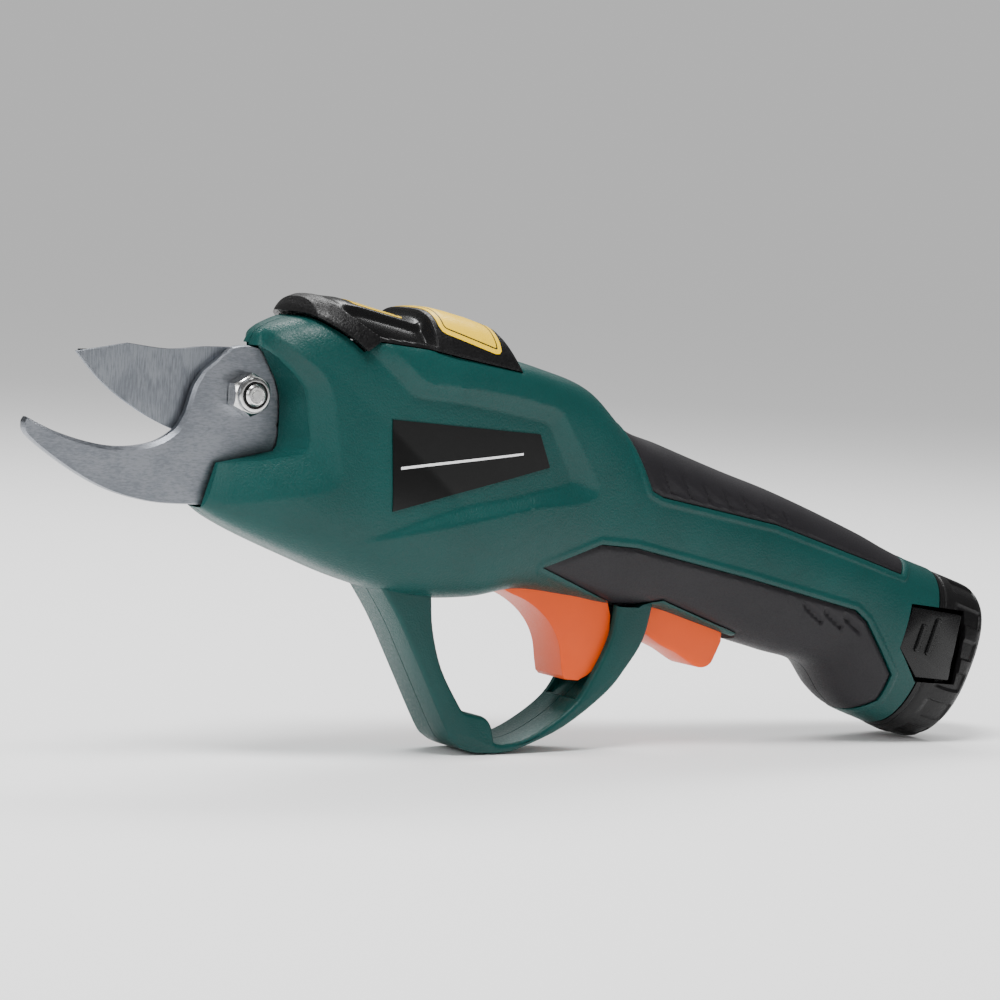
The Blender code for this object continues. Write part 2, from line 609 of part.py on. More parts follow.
def make_pivot():
    bolt = round_y("pivot_bolt", PIVOT, [(-10.6, 2.4), (-10.1, 2.9), (10.2, 2.9)], ZINC, 16)
    head = round_y("bolt_head", PIVOT, [(9.95 + GAP, 5.6), (13.4, 5.6), (13.9, 5.0)], ZINC, 6)
    boolean(bolt, round_y("neck", PIVOT, [(5.0, 2.9), (12.0, 2.9)], ZINC, 16), "UNION")
    boolean(bolt, head, "UNION")
    rename(bolt, "pivot_bolt", ZINC)
    across = 5.0 / math.cos(math.pi / 6)
    nut = round_y("pivot_nut", PIVOT, [(-9.5, 3.9), (-9.5, 4.2), (-8.6, 4.6), (-8.2, 4.7)],
                  ZINC, 24)
    body = round_y("nut_body", PIVOT, [(-8.4, across), (-3.5, across)], ZINC, 6, math.pi / 6)
    boolean(nut, body, "UNION")
    boolean(nut, round_y("nut_bore", PIVOT, [(-12, 3.2), (0, 3.2)], ZINC, 16))
    rename(nut, "pivot_nut", ZINC)
    cover = prism("pivot_plate", PLATE_OUTLINE, *PLATE_Y, STEEL)
    boolean(cover, round_y("plate_bore", PIVOT, [(6, 3.3), (12, 3.3)], STEEL, 16))
    for spot in FRAME_SCREWS_RIGHT:
        boolean(cover, round_y("plate_hole", spot, [(6, 2.3), (12, 2.3)], STEEL, 12))


# ---------------------------------------------------------------- drive train
def make_frame():
    ring = axis_round("gear_frame", MOTOR, [(28.0, 14.6), (32.0, 14.6)], CAST, 32)
    foot = [(-80.5, 63.0), (-63.4, 61.5), (-61.0, 72.0), (-59.1, 80.0), (-62.0, 80.0),
            (-67.0, 75.0), (-80.5, 69.0)]
    boolean(ring, prism("frame_foot", foot, 0.1, GEAR_Y[1], CAST), "UNION")
    boolean(ring, axis_round("bearing_seat", MOTOR, [(20.0, 6.8), (40.0, 6.8)], CAST, 24))
    for spot in FRAME_SCREWS_LEFT:
        boolean(ring, round_y("frame_hole", spot, [(-2, 2.3), (4.2, 2.3)], CAST, 12))
    for spot in FRAME_SCREWS_RIGHT:
        boolean(ring, round_y("frame_hole", spot, [(4.0, 2.3), (12, 2.3)], CAST, 12))
    rename(tidy_mesh(ring), "gear_frame", CAST)
    for i, spot in enumerate(FRAME_SCREWS_LEFT):
        round_y(f"hook_screw_{i + 1}", spot, [(-5.4, 2.6), (-5.0, 3.4), (-3.5, 3.4), (-3.5, 1.95),
                                              (3.9, 1.95)], ZINC, 12)
    for i, spot in enumerate(FRAME_SCREWS_RIGHT):
        round_y(f"plate_screw_{i + 1}", spot, [(4.4, 1.95), (10.2, 1.95), (10.2, 3.4), (11.7, 3.4),
                                               (12.1, 2.6)], ZINC, 12)


def axis_ring(name, frame, t0, t1, outer, inner, mat, count=24):
    ring = axis_round(name, frame, [(t0, outer), (t1, outer)], mat, count)
    boolean(ring, axis_round("ring_bore", frame, [(t0 - 5, inner), (t1 + 5, inner)], mat, count))
    ring.name = name
    return ring


def make_drive():
    axis_ring("shaft_bearing", MOTOR, 28.2, 31.8, 6.4, 3.0, STEEL)
    gearbox = axis_round("gearbox_case", MOTOR, [(32.4, 12.0), (32.4, 14.8), (34.0, 15.0),
                                                 (57.6, 15.0), (57.6, 12.0)], CAST, 32)
    boolean(gearbox, axis_round("shaft_room", MOTOR, [(20.0, 3.1), (40.0, 3.1)], CAST, 16))
    rename(gearbox, "gearbox_case", CAST)
    axis_round("motor_can", MOTOR, [(58.0, 12.8), (59.0, 13.8), (96.0, 13.8), (97.4, 12.6)],
               ZINC, 32)
    axis_round("motor_end_cap", MOTOR, [(97.8, 11.5), (100.6, 11.5), (100.6, 5.0), (103.0, 4.6)],
               BLACK, 24)


def make_electrics():
    board_frame = axis_frame((26.5, 66.5), HANDLE_TILT)
    axis_box("controller_board", board_frame, (0.0, -11.0, 0.0), (24.0, 11.0, 1.6), BOARD)
    box("trigger_switch", (10.4, -2.9, 51.1), (21.6, 2.9, 56.2), BLACK)
    box("lock_switch", (46.4, -2.9, 45.2), (54.0, 2.9, 48.6), BLACK)
    block = [(-9.5, -8.0), (9.5, -8.0), (9.5, 8.0), (-9.5, 8.0)]
    axis_loft("terminal_block", PACK, [(-93.0, block), (-87.6, block)], BLACK)
    for i, side in enumerate((-4.5, 4.5)):
        axis_box(f"contact_blade_{i + 1}", PACK, (-87.2, side - 0.4, -3.0),
                 (-80.4, side + 0.4, 3.0), COPPER)
    for word, side, mat in (("red", -6.0, RED), ("black", 6.0, BLACK)):
        route = [along_axis(MOTOR, 101.4, side, 7.0), along_axis(MOTOR, 107.0, side, 6.0),
                 (24.5, side, 72.5), (27.5, side, 70.5), (28.5, side, 69.0)]
        tube(f"motor_lead_{word}", route, 0.9, mat)


def tube(name, route, radius, mat):
    """A held wire along a smooth curve through its route."""
    points = [catmull(route, (len(route) - 1) * i / 14) for i in range(15)]
    curve = bpy.data.curves.new(name, "CURVE")
    curve.dimensions = "3D"
    curve.bevel_depth = radius * MM
    curve.bevel_resolution = 2
    curve.use_fill_caps = True
    spline = curve.splines.new("POLY")
    spline.points.add(len(points) - 1)
    for slot, (x, y, z) in zip(spline.points, points):
        slot.co = (x * MM, y * MM, z * MM, 1.0)
    wire = bpy.data.objects.new(name, curve)
    curve.materials.append(mat)
    bpy.context.scene.collection.objects.link(wire)


def coil(name, start, end, radius, wire, turns, mat):
    """A compression spring between two points."""
    start, end = Vector(start), Vector(end)
    along = (end - start).normalized()
    side = along.orthogonal().normalized()
    other = along.cross(side)
    steps = int(turns * 9)
    rings = []
    for i in range(steps + 1):
        angle = 2 * math.pi * turns * i / steps
        centre = start.lerp(end, i / steps)
        out = side * math.cos(angle) + other * math.sin(angle)
        ring = []
        for k in range(5):
            turn = 2 * math.pi * k / 5
            ring.append(tuple(centre + out * (radius + wire * math.cos(turn))
                              + along * wire * math.sin(turn)))
        rings.append(ring)
    return loft(name, rings, mat, tuple(start))


# ---------------------------------------------------------------- controls
def make_controls():
    origin = (TRIGGER_PIN[0], 0.0, TRIGGER_PIN[1])
    trigger = prism("trigger", TRIGGER_OUTLINE, -TRIGGER_HALF, TRIGGER_HALF, ORANGE, origin)
    boolean(trigger, round_y("bore", TRIGGER_PIN, [(-20, 1.8), (20, 1.8)], ORANGE, 12))
    rename(trigger, "trigger", ORANGE)
    origin = (LEVER_PIN[0], 0.0, LEVER_PIN[1])
    lever = prism("lock_lever", LEVER_OUTLINE, -LEVER_HALF, LEVER_HALF, ORANGE, origin)
    boolean(lever, round_y("bore", LEVER_PIN, [(-20, 1.8), (20, 1.8)], ORANGE, 12))
    rename(lever, "lock_lever", ORANGE)
    for name, (x, z) in (("trigger_pin", TRIGGER_PIN), ("lever_pin", LEVER_PIN)):
        round_y(name, (x, z), [(-PIN_END, 1.1), (0.4 - PIN_END, PIN_R), (PIN_END - 0.4, PIN_R),
                               (PIN_END, 1.1)], ZINC, 12)
    coil("trigger_spring", (4.5, 0.0, 51.9), (4.5, 0.0, 57.2), 2.2, 0.3, 4, ZINC)
    coil("lever_spring", (54.6, 0.0, 39.9), (54.6, 0.0, 43.8), 1.6, 0.3, 4, ZINC)


# ---------------------------------------------------------------- battery
def trefoil(radius, scale=1.0, steps=8):
    """Outline round three cells, as (side, height) points."""
    pitch = CELL_PITCH * scale
    spots = [(pitch / 2, -pitch / (2 * math.sqrt(3)), -90, 30),
             (0.0, pitch / math.sqrt(3), 30, 150),
             (-pitch / 2, -pitch / (2 * math.sqrt(3)), 150, 270)]
    outline = []
    for side, height, start, end in spots:
        outline += arc((side, height), radius, start, end, steps)
    return outline, [(side, height) for side, height, _, _ in spots]


def make_battery():
    inner_r = CELL_R + GAP
    shell, spots = trefoil(inner_r + CASE_WALL)
    case = axis_loft("battery_case", PACK, [(-84.0, shell), (-27.6, shell)], BLACK)
    room, _ = trefoil(inner_r)
    boolean(case, axis_loft("cell_room", PACK, [(-82.8, room), (-20.0, room)], BLACK))
    for side in (-4.5, 4.5):
        boolean(case, axis_box("contact_slot", PACK, (-90.0, side - 0.8, -3.6),
                               (-80.0, side + 0.8, 3.6), BLACK))
    rename(tidy_mesh(case), "battery_case", BLACK)
    for i, (side, height) in enumerate(spots):
        ring = circle((side, height), CELL_R, 16)
        cap = circle((side, height), 2.6, 16)
        low, high = -79.0, -79.0 + CELL_LENGTH
        axis_loft(f"cell_{i + 1}", PACK, [(low, cap), (low + 0.8, cap), (low + 0.8, ring),
                                          (high, ring)], WRAP)
    neck, _ = trefoil(5.4, 0.8)
    base = axis_loft("battery_base", PACK, [(-27.3, neck), (-3.4, neck)], BLACK)
    plate = section_ring(CAP_SECTIONS[0], 3.0, 28)
    push = Vector((math.cos(HANDLE_TILT), 0.0, math.sin(HANDLE_TILT)))
    rings = [[tuple(Vector(p) + push * shift) for p in plate] for shift in (8.5, 11.5)]
    boolean(base, loft("base_plate", rings, BLACK), "UNION")
    for side in (-1, 1):
        y0, y1 = sorted((side * (LATCH_INNER - LATCH_TRAVEL - GAP), side * 40.0))
        boolean(base, prism("latch_room", LATCH_NOTCH, y0, y1, BLACK))
        y0, y1 = sorted((side * (STEM_INNER - LATCH_TRAVEL - GAP), side * 40.0))
        boolean(base, axis_box("stem_room", PACK, (-15.3, y0, -5.7), (-10.3, y1, 1.7), BLACK))
    rename(tidy_mesh(base), "battery_base", BLACK)
    board = circle((0.0, 0.0), 5.6, 12)
    hole = axis_loft("board_room", PACK, [(-22.4, circle((0.0, 0.0), 6.0, 12)),
                                          (-19.0, circle((0.0, 0.0), 6.0, 12))], BLACK)
    slot = axis_box("board_slot", PACK, (-22.4, -6.0, -20.0), (-19.0, 6.0, 0.0), BLACK)
    boolean(hole, slot, "UNION")
    boolean(bpy.data.objects["battery_base"], hole)
    axis_loft("battery_board", PACK, [(-21.5, board), (-19.9, board)], BOARD)
    make_cap()
    for side, word in ((-1, "left"), (1, "right")):
        make_latch(side, word)


CAP_SECTIONS = [
    (133.9, 49.0, 118.1, 4.2, 18.4, 2.4, 2.4),
    (136.5, 48.0, 120.4, 3.0, 18.6, 2.4, 2.4),
    (143.0, 45.8, 126.6, 0.6, 18.6, 2.4, 2.4),
    (147.9, 43.9, 131.2, 0.0, 18.2, 2.4, 2.4),
    (149.8, 41.8, 134.0, 1.4, 17.2, 2.4, 2.4),
]


def make_cap():
    rings = [section_ring(section, 0.0, 36) for section in CAP_SECTIONS]
    cap = loft("battery_cap", rings, BLACK)
    push = Vector((math.cos(HANDLE_TILT), 0.0, math.sin(HANDLE_TILT)))
    mouth = section_ring(CAP_SECTIONS[0], 2.2, 28)
    rings = [[tuple(Vector(p) + push * shift) for p in mouth] for shift in (-6.0, 13.2)]
    boolean(cap, loft("cap_room", rings, BLACK))
    for side in (-1, 1):
        y0, y1 = sorted((side * 12.0, side * 40.0))
        boolean(cap, prism("latch_room", LATCH_NOTCH, y0, y1, BLACK))
    rename(tidy_mesh(cap), "battery_cap", BLACK)


def make_latch(side, word):
    """Release latch in the side of the cap, with the stem that catches the housing."""
    y0, y1 = sorted((side * LATCH_INNER, side * LATCH_OUTER))
    latch = prism(f"latch_{word}", LATCH_OUTLINE, y0, y1, BLACK)
    y0, y1 = sorted((side * STEM_INNER, side * (LATCH_INNER + 1.0)))
    stem = axis_box("stem", PACK, (-14.6, y0, -5.0), (-11.0, y1, 1.0), BLACK)
    boolean(latch, stem, "UNION")
    rename(latch, f"latch_{word}", BLACK)


def main():
    clear_scene()
    make_housing()
    make_cover()
    make_grips()
    make_stickers()
    make_screws()
    make_blades()
    make_sector()
    make_pinion()
    make_pivot()
    make_frame()
    make_drive()
    make_electrics()
    make_controls()
    make_battery()


main()
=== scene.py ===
"""Looks of the battery electric pruner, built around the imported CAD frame.

Lengths in the outlines are millimetres and become metres when a mesh is made.
"""
import json
import math

import bmesh
import bpy
import numpy as np
from mathutils import Matrix, Vector


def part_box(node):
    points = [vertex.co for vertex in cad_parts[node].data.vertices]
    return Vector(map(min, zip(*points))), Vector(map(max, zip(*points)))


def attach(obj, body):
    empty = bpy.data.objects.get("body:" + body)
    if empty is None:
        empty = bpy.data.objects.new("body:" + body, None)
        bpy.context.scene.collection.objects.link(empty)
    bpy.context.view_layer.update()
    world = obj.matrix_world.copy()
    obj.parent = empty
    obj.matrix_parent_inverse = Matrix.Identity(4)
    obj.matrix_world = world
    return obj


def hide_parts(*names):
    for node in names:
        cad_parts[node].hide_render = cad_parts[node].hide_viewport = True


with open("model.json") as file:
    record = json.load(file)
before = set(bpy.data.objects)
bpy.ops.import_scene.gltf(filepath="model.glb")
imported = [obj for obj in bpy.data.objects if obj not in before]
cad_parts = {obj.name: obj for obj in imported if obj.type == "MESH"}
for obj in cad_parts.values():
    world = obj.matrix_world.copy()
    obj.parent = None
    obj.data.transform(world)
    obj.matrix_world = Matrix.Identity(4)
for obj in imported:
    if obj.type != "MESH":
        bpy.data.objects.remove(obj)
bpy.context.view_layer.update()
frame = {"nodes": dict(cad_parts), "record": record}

MM = 0.001
GAP = 0.3            # between neighbouring pieces
SPLIT = 0.15         # half of the gap at the parting line
POCKET = 1.7         # depth of the grips' pockets
GRIP = 1.4           # thickness of a grip
FAR = 40.0           # beyond the sides of every piece
PANEL_DEPTH = 2.6    # side panel, under the smooth body
NOSE_DEPTH = 2.9     # chamfer round the nose recess
HOOK_BACK_R = 12.6   # back of the hook plate, round the pivot
BLADE_BACK_R = 12.4
WORLD_LIGHT = 0.62
WELD = 0.004         # points closer than this become one
JOINTS = {joint["name"]: joint for joint in frame["record"]["behaviour"]["joints"]}
PIVOT = (JOINTS["blade_swing"]["pos_m"][0] / MM, JOINTS["blade_swing"]["pos_m"][2] / MM)
TRIGGER_PIN = (JOINTS["trigger_pull"]["pos_m"][0] / MM, JOINTS["trigger_pull"]["pos_m"][2] / MM)
LEVER_PIN = (JOINTS["lever_press"]["pos_m"][0] / MM, JOINTS["lever_press"]["pos_m"][2] / MM)
AXIS = Vector(JOINTS["battery_slide"]["axis"])

# Body sections: top x, top z, bottom x, bottom z, half width, roundness exponents
# of the lower and of the upper half
SECTIONS = [
    (-85.6, 110.0, -99.8, 66.2, 8.6, 4.0, 4.0),
    (-84.0, 112.6, -95.0, 63.2, 11.8, 4.0, 4.2),
    (-79.2, 115.2, -85.8, 58.8, 16.2, 3.8, 4.5),
    (-70.0, 117.2, -72.0, 53.1, 20.5, 3.5, 5.0),
    (-55.0, 115.0, -55.5, 46.8, 22.6, 3.2, 5.2),
    (-38.0, 111.8, -39.0, 42.6, 23.0, 3.0, 5.6),
    (-20.0, 108.7, -21.0, 42.2, 22.8, 3.0, 5.6),
    (-4.0, 105.0, -6.0, 44.2, 21.8, 2.9, 5.0),
    (12.0, 99.8, 10.0, 42.0, 20.2, 2.7, 3.8),
    (26.0, 89.0, 24.0, 39.4, 19.2, 2.5, 2.8),
    (40.0, 84.2, 38.0, 38.0, 18.6, 2.4, 2.4),
    (60.0, 77.2, 53.0, 33.6, 18.5, 2.4, 2.4),
    (76.0, 72.0, 66.0, 29.4, 18.5, 2.4, 2.4),
    (92.0, 66.0, 80.0, 25.5, 18.5, 2.4, 2.4),
    (108.0, 59.5, 93.5, 21.6, 18.5, 2.4, 2.4),
    (117.0, 55.4, 101.0, 12.9, 18.5, 2.4, 2.4),
    (124.5, 52.3, 107.5, 8.2, 18.5, 2.4, 2.4),
    (133.5, 49.3, 117.5, 4.3, 18.4, 2.4, 2.4),
]
CAP_SECTIONS = [
    (133.9, 49.0, 118.1, 4.2, 18.4, 2.4, 2.4),
    (136.5, 48.0, 120.4, 3.0, 18.6, 2.4, 2.4),
    (143.0, 45.8, 126.6, 0.6, 18.6, 2.4, 2.4),
    (147.9, 43.9, 131.2, 0.0, 18.2, 2.4, 2.4),
    (149.8, 41.8, 134.0, 1.4, 17.2, 2.4, 2.4),
]
HOOD_TOP = [(-75.2, 117.6), (-74.0, 120.0), (-72.4, 122.0), (-70.0, 122.7), (-66.9, 122.85),
            (-63.0, 122.6), (-58.0, 121.4), (-53.0, 120.1), (-43.0, 117.6), (-41.0, 117.2)]
HUMP_TOP = [(-43.0, 119.0), (-39.6, 119.8), (-35.7, 120.1), (-32.0, 119.4), (-25.7, 117.9),
            (-19.4, 116.0), (-13.0, 113.7), (-10.0, 112.4), (-5.0, 109.5)]
COVER_POWER = [(-77.0, 2.3), (-71.0, 2.8), (-60.0, 3.3), (-39.0, 3.4), (-13.0, 3.4)]
COVER_OUTLINE = [(-75.6, 118.3), (-73.6, 117.8), (-70.4, 115.8), (-64.5, 112.0), (-60.9, 108.7),
                 (-56.7, 111.3), (-42.4, 109.7), (-33.6, 107.8), (-13.7, 104.1), (-16.4, 110.4),
                 (-17.6, 113.5), (-18.5, 140.0), (-75.6, 140.0)]
# Smooth top of the hood, inside the arris of its grained rim
SATIN_AREA = [(-69.4, 126.0), (-69.0, 122.6), (-68.0, 121.3), (-66.6, 119.9), (-64.5, 117.8),
              (-62.3, 116.1), (-59.8, 114.3), (-56.5, 112.2), (-42.4, 110.7), (-39.9, 110.3),
              (-39.9, 126.0)]
# Nose recess for the pivot: its outer crease, its mouth, and its floor beside the hook plate
NOSE_CREASE = [(-112.0, 116.0), (-83.2, 116.0), (-83.0, 113.3), (-82.3, 111.4), (-79.7, 109.3),
               (-76.7, 106.4), (-73.1, 103.2), (-71.0, 100.5), (-69.8, 97.3), (-68.6, 90.8),
               (-67.9, 83.0), (-67.1, 76.4), (-68.1, 73.8), (-70.5, 72.3), (-78.1, 70.6),
               (-87.6, 68.8), (-94.2, 67.4), (-97.8, 66.7), (-112.0, 64.0)]
NOSE_MOUTH = [(-112.0, 111.3), (-85.6, 111.2), (-82.2, 107.4), (-79.6, 104.7), (-76.9, 101.2),
              (-75.4, 98.7), (-74.9, 95.5), (-74.6, 90.3), (-74.2, 85.2), (-74.8, 82.7),
              (-76.1, 81.2), (-79.4, 80.7), (-86.6, 79.0), (-96.4, 77.6), (-112.0, 76.6)]
NOSE_FLOOR = [(-112.0, 109.0), (-85.2, 108.9), (-83.4, 107.0), (-81.8, 104.2), (-79.8, 100.6),
              (-78.9, 98.4), (-78.2, 95.9), (-77.9, 91.5), (-78.0, 85.6), (-78.4, 82.8),
              (-79.4, 81.3), (-82.4, 80.7), (-88.7, 79.4), (-96.4, 78.0), (-112.0, 77.4)]
# Side panel: its raised border and its floor
PANEL_BORDER = [(-70.0, 130.0), (-59.0, 116.0), (-53.1, 109.3), (-45.8, 102.0), (-43.4, 100.5),
                (-28.4, 99.2), (-15.6, 97.4), (-3.7, 94.7), (-0.8, 93.3), (2.6, 87.5),
                (8.2, 79.4), (12.0, 73.0), (11.6, 71.2), (8.8, 69.7), (2.0, 68.7), (-7.7, 68.3),
                (-17.4, 66.4), (-26.6, 64.6), (-38.4, 62.4), (-49.8, 60.4), (-63.1, 57.3),
                (-110.0, 47.5), (-110.0, 130.0)]
PANEL_FLOOR = [(-75.0, 130.0), (-65.0, 114.5), (-59.4, 108.3), (-52.9, 102.6), (-47.7, 97.9),
               (-45.0, 97.0), (-33.1, 95.9), (-20.7, 93.8), (-6.4, 91.1), (-4.3, 89.9),
               (-1.2, 84.3), (2.8, 76.8), (3.7, 74.5), (2.3, 73.6), (-7.0, 71.9),
               (-13.3, 70.4), (-25.9, 68.6), (-38.1, 65.8), (-49.8, 62.0), (-63.1, 58.2),
               (-110.0, 48.5), (-110.0, 130.0)]
GUARD_OUTER = [(37.5, 41.0), (34.9, 30.5), (29.6, 22.5), (23.3, 15.5), (10.6, 6.7), (-2.2, 1.4),
               (-8.0, 0.1), (-15.0, 0.1), (-18.8, 0.6), (-22.9, 2.6), (-26.3, 6.5), (-36.1, 25.0),
               (-42.6, 37.0), (-50.5, 48.5)]
GUARD_INNER = [(-33.5, 52.0), (-32.7, 42.8), (-31.8, 33.9), (-28.7, 23.5), (-23.0, 13.8),
               (-21.1, 11.6), (-18.6, 10.9), (-15.6, 10.3), (-13.6, 9.1), (-12.3, 7.0),
               (-11.7, 4.6), (-10.4, 2.6), (-2.8, 3.4), (5.6, 7.3), (14.0, 13.3), (18.8, 20.3),
               (24.4, 31.6), (26.0, 44.0)]
TRIGGER_OUTLINE = [(-10.2, 45.0), (-7.7, 43.7), (-1.7, 41.1), (3.3, 37.6), (6.8, 33.6),
                   (9.0, 29.0), (10.0, 23.4), (10.6, 20.4), (11.6, 19.4), (15.5, 19.1),
                   (18.4, 20.4), (20.6, 22.1), (23.4, 26.5), (25.0, 31.0), (25.0, 37.0),
                   (23.3, 43.3), (14.0, 46.8), (2.0, 51.6), (-5.5, 52.8), (-9.8, 49.5)]
LEVER_OUTLINE = [(36.5, 32.0), (42.2, 28.4), (47.7, 25.9), (52.6, 23.0), (55.0, 21.9),
                 (57.4, 21.8), (59.4, 22.9), (60.8, 25.4), (62.5, 29.0), (62.5, 33.4),
                 (58.8, 37.8), (47.4, 41.3), (44.4, 45.3), (40.6, 46.4), (37.7, 44.9),
                 (36.5, 40.0)]
TRIGGER_SLOT = [(-10.9, 38.0), (-10.9, 56.0), (29.5, 50.0), (30.4, 40.0), (27.6, 29.5),
                (23.0, 20.4), (16.0, 14.0), (0.0, 14.0)]
LEVER_SLOT = [(35.4, 20.0), (35.4, 47.8), (47.0, 47.8), (49.0, 45.0), (66.6, 45.0), (66.6, 20.0)]
UPPER_GRIP = [(24.3, 100.0), (24.3, 88.6), (30.1, 72.4), (33.8, 70.6), (72.5, 62.9),
              (118.0, 48.4), (122.5, 52.4), (122.5, 70.0)]
LOWER_GRIP = [(-3.0, 51.3), (30.4, 38.3), (33.6, 40.2), (39.3, 41.6), (65.7, 31.7),
              (64.5, 20.0), (106.8, 0.0), (106.8, 8.3), (112.0, 12.3), (113.6, 19.9),
              (103.5, 35.3), (99.5, 38.5), (61.7, 48.1), (25.6, 56.4), (14.0, 57.5)]
LATCH_NOTCH = [(140.0, 37.6), (119.7, 40.2), (115.5, 27.7), (121.9, 17.8), (136.0, 16.6)]
LATCH_OUTLINE = [(137.6, 36.6), (120.2, 39.3), (116.2, 27.8), (122.3, 19.0), (134.0, 17.8)]
SIDE_LABEL = [(-52.9, 91.0), (-7.4, 87.5), (-3.8, 78.6), (-52.3, 66.9)]
HOOK_OUTER = [(-149.1, 89.4), (-149.8, 87.7), (-148.6, 84.6), (-140.7, 78.7), (-131.1, 73.1),
              (-122.2, 69.6), (-111.9, 67.5), (-100.5, 67.0), (-92.0, 65.8), (-84.0, 62.5),
              (-76.0, 60.6), (-64.5, 60.6), (-61.5, 64.0), (-66.5, 76.0), (-72.5, 84.0)]
HOOK_INNER = [(-99.7, 101.8), (-102.2, 98.0), (-103.6, 93.8), (-104.8, 90.3), (-107.7, 86.2),
              (-113.9, 83.0), (-122.7, 82.0), (-131.5, 83.1), (-141.0, 85.8)]
BLADE_EDGE = [(-94.0, 82.4), (-106.0, 86.1), (-117.0, 91.2), (-127.4, 98.3), (-134.9, 106.2)]
BLADE_BACK = [(-120.3, 108.6), (-111.4, 107.5), (-106.3, 107.4), (-98.9, 108.1), (-90.0, 108.1)]


# ---------------------------------------------------------------- mesh helpers
def new_piece(name, verts, faces):
    mesh = bpy.data.meshes.new(name)
    mesh.from_pydata([(x * MM, y * MM, z * MM) for x, y, z in verts], [], faces)
    piece = bpy.data.objects.new(name, mesh)
    bpy.context.scene.collection.objects.link(piece)
    face_out(piece)
    return piece


def face_out(piece):
    work = bmesh.new()
    work.from_mesh(piece.data)
    bmesh.ops.recalc_face_normals(work, faces=work.faces)
    if work.calc_volume(signed=True) < 0:
        bmesh.ops.reverse_faces(work, faces=work.faces)
    work.to_mesh(piece.data)
    work.free()


def loft(name, rings):
    """A closed skin through rings of points, with a flat face at each end."""
    count = len(rings[0])
    verts = [tuple(point) for ring in rings for point in ring]
    faces = []
    for row in range(len(rings) - 1):
        for col in range(count):
            a = row * count + col
            b = row * count + (col + 1) % count
            faces.append((a, b, b + count, a + count))
    faces.append(tuple(range(count)))
    last = (len(rings) - 1) * count
    faces.append(tuple(last + i for i in range(count)))
    return new_piece(name, verts, faces)


def prism(name, outline, y0=-FAR, y1=FAR):
    return loft(name, [[(x, y, z) for x, z in outline] for y in (y0, y1)])


def side_prism(name, outline, side, near, far=FAR):
    """A prism on one side of the middle plane only."""
    y0, y1 = sorted((side * near, side * far))
    return prism(name, outline, y0, y1)


def circle(centre, radius, count, start=0.0):
    steps = [start + 2 * math.pi * i / count for i in range(count)]
    return [(centre[0] + radius * math.cos(a), centre[1] + radius * math.sin(a)) for a in steps]


def arc(centre, radius, start, end, count):
    steps = [math.radians(start + (end - start) * i / (count - 1)) for i in range(count)]
    return [(centre[0] + radius * math.cos(a), centre[1] + radius * math.sin(a)) for a in steps]


def round_y(name, centre, profile, count=48, start=0.0):
    rings = [[(x, y, z) for x, z in circle(centre, radius, count, start)] for y, radius in profile]
    return loft(name, rings)


def boolean(target, cutter, operation="DIFFERENCE"):
    """Combine closed meshes; the cutter is used up."""
    step = target.modifiers.new("combine", "BOOLEAN")
    step.operation = operation
    step.solver = "MANIFOLD"
    step.object = cutter
    bake(target)
    bpy.data.objects.remove(cutter, do_unlink=True)
    return target


def bake(piece):
    """Keep what the piece's modifiers make as its plain mesh."""
    bpy.context.view_layer.update()
    evaluated = piece.evaluated_get(bpy.context.evaluated_depsgraph_get())
    result = bpy.data.meshes.new_from_object(evaluated)
    piece.modifiers.clear()
    piece.data = result
    return piece


def bevel(piece, width, segments=3, angle=40.0):
    step = piece.modifiers.new("round", "BEVEL")
    step.width = width * MM
    step.segments = segments
    step.limit_method = "ANGLE"
    step.angle_limit = math.radians(angle)
    return bake(piece)


def shade(piece, angle):
    piece.data.shade_smooth()
    piece.data.set_sharp_from_angle(angle=math.radians(angle))


def finish_piece(piece, name, mat, body, slot, *nodes, angle=32.0):
    """Weld, shade, dress and hang one visible piece in place of its CAD nodes."""
    work = bmesh.new()
    work.from_mesh(piece.data)
    bmesh.ops.remove_doubles(work, verts=work.verts, dist=WELD * MM)
    bmesh.ops.dissolve_degenerate(work, edges=work.edges, dist=WELD * MM)
    work.to_mesh(piece.data)
    work.free()
    piece.name = name
    piece.data.name = name
    piece.data.materials.clear()
    piece.data.materials.append(mat)
    shade(piece, angle)
    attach(piece, body)
    if nodes:
        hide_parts(*nodes)


def catmull(points, place):
    last = len(points) - 1
    i = min(max(int(math.floor(place)), 0), last - 1)
    t = place - i
    p0, p1, p2, p3 = points[max(i - 1, 0)], points[i], points[i + 1], points[min(i + 2, last)]
    return [b + 0.5 * t * (c - a + t * (2 * a - 5 * b + 4 * c - d + t * (3 * (b - c) + d - a)))
            for a, b, c, d in zip(p0, p1, p2, p3)]


def smooth_line(points, steps):
    """A smooth open curve through the points, with steps pieces in each span."""
    spans = len(points) - 1
    return [tuple(catmull(points, i / steps)) for i in range(spans * steps + 1)]


def offset(outline, amount):
    area = sum(a[0] * b[1] - b[0] * a[1] for a, b in zip(outline, outline[1:] + outline[:1]))
    sign = 1.0 if area > 0 else -1.0
    grown = []
    for i, here in enumerate(outline):
        here = Vector(here)
        a = (here - Vector(outline[i - 1])).normalized()
        b = (Vector(outline[(i + 1) % len(outline)]) - here).normalized()
        normal_a = Vector((a.y, -a.x)) * sign
        normal_b = Vector((b.y, -b.x)) * sign
        middle = normal_a + normal_b
        grown.append(tuple(here + middle * (amount / max(0.5, 1.0 + normal_a.dot(normal_b)))))
    return grown


# ---------------------------------------------------------------- surface fields
def step_up(low, high, value):
    t = np.clip((value - low) / (high - low), 0.0, 1.0)
    return t * t * (3 - 2 * t)


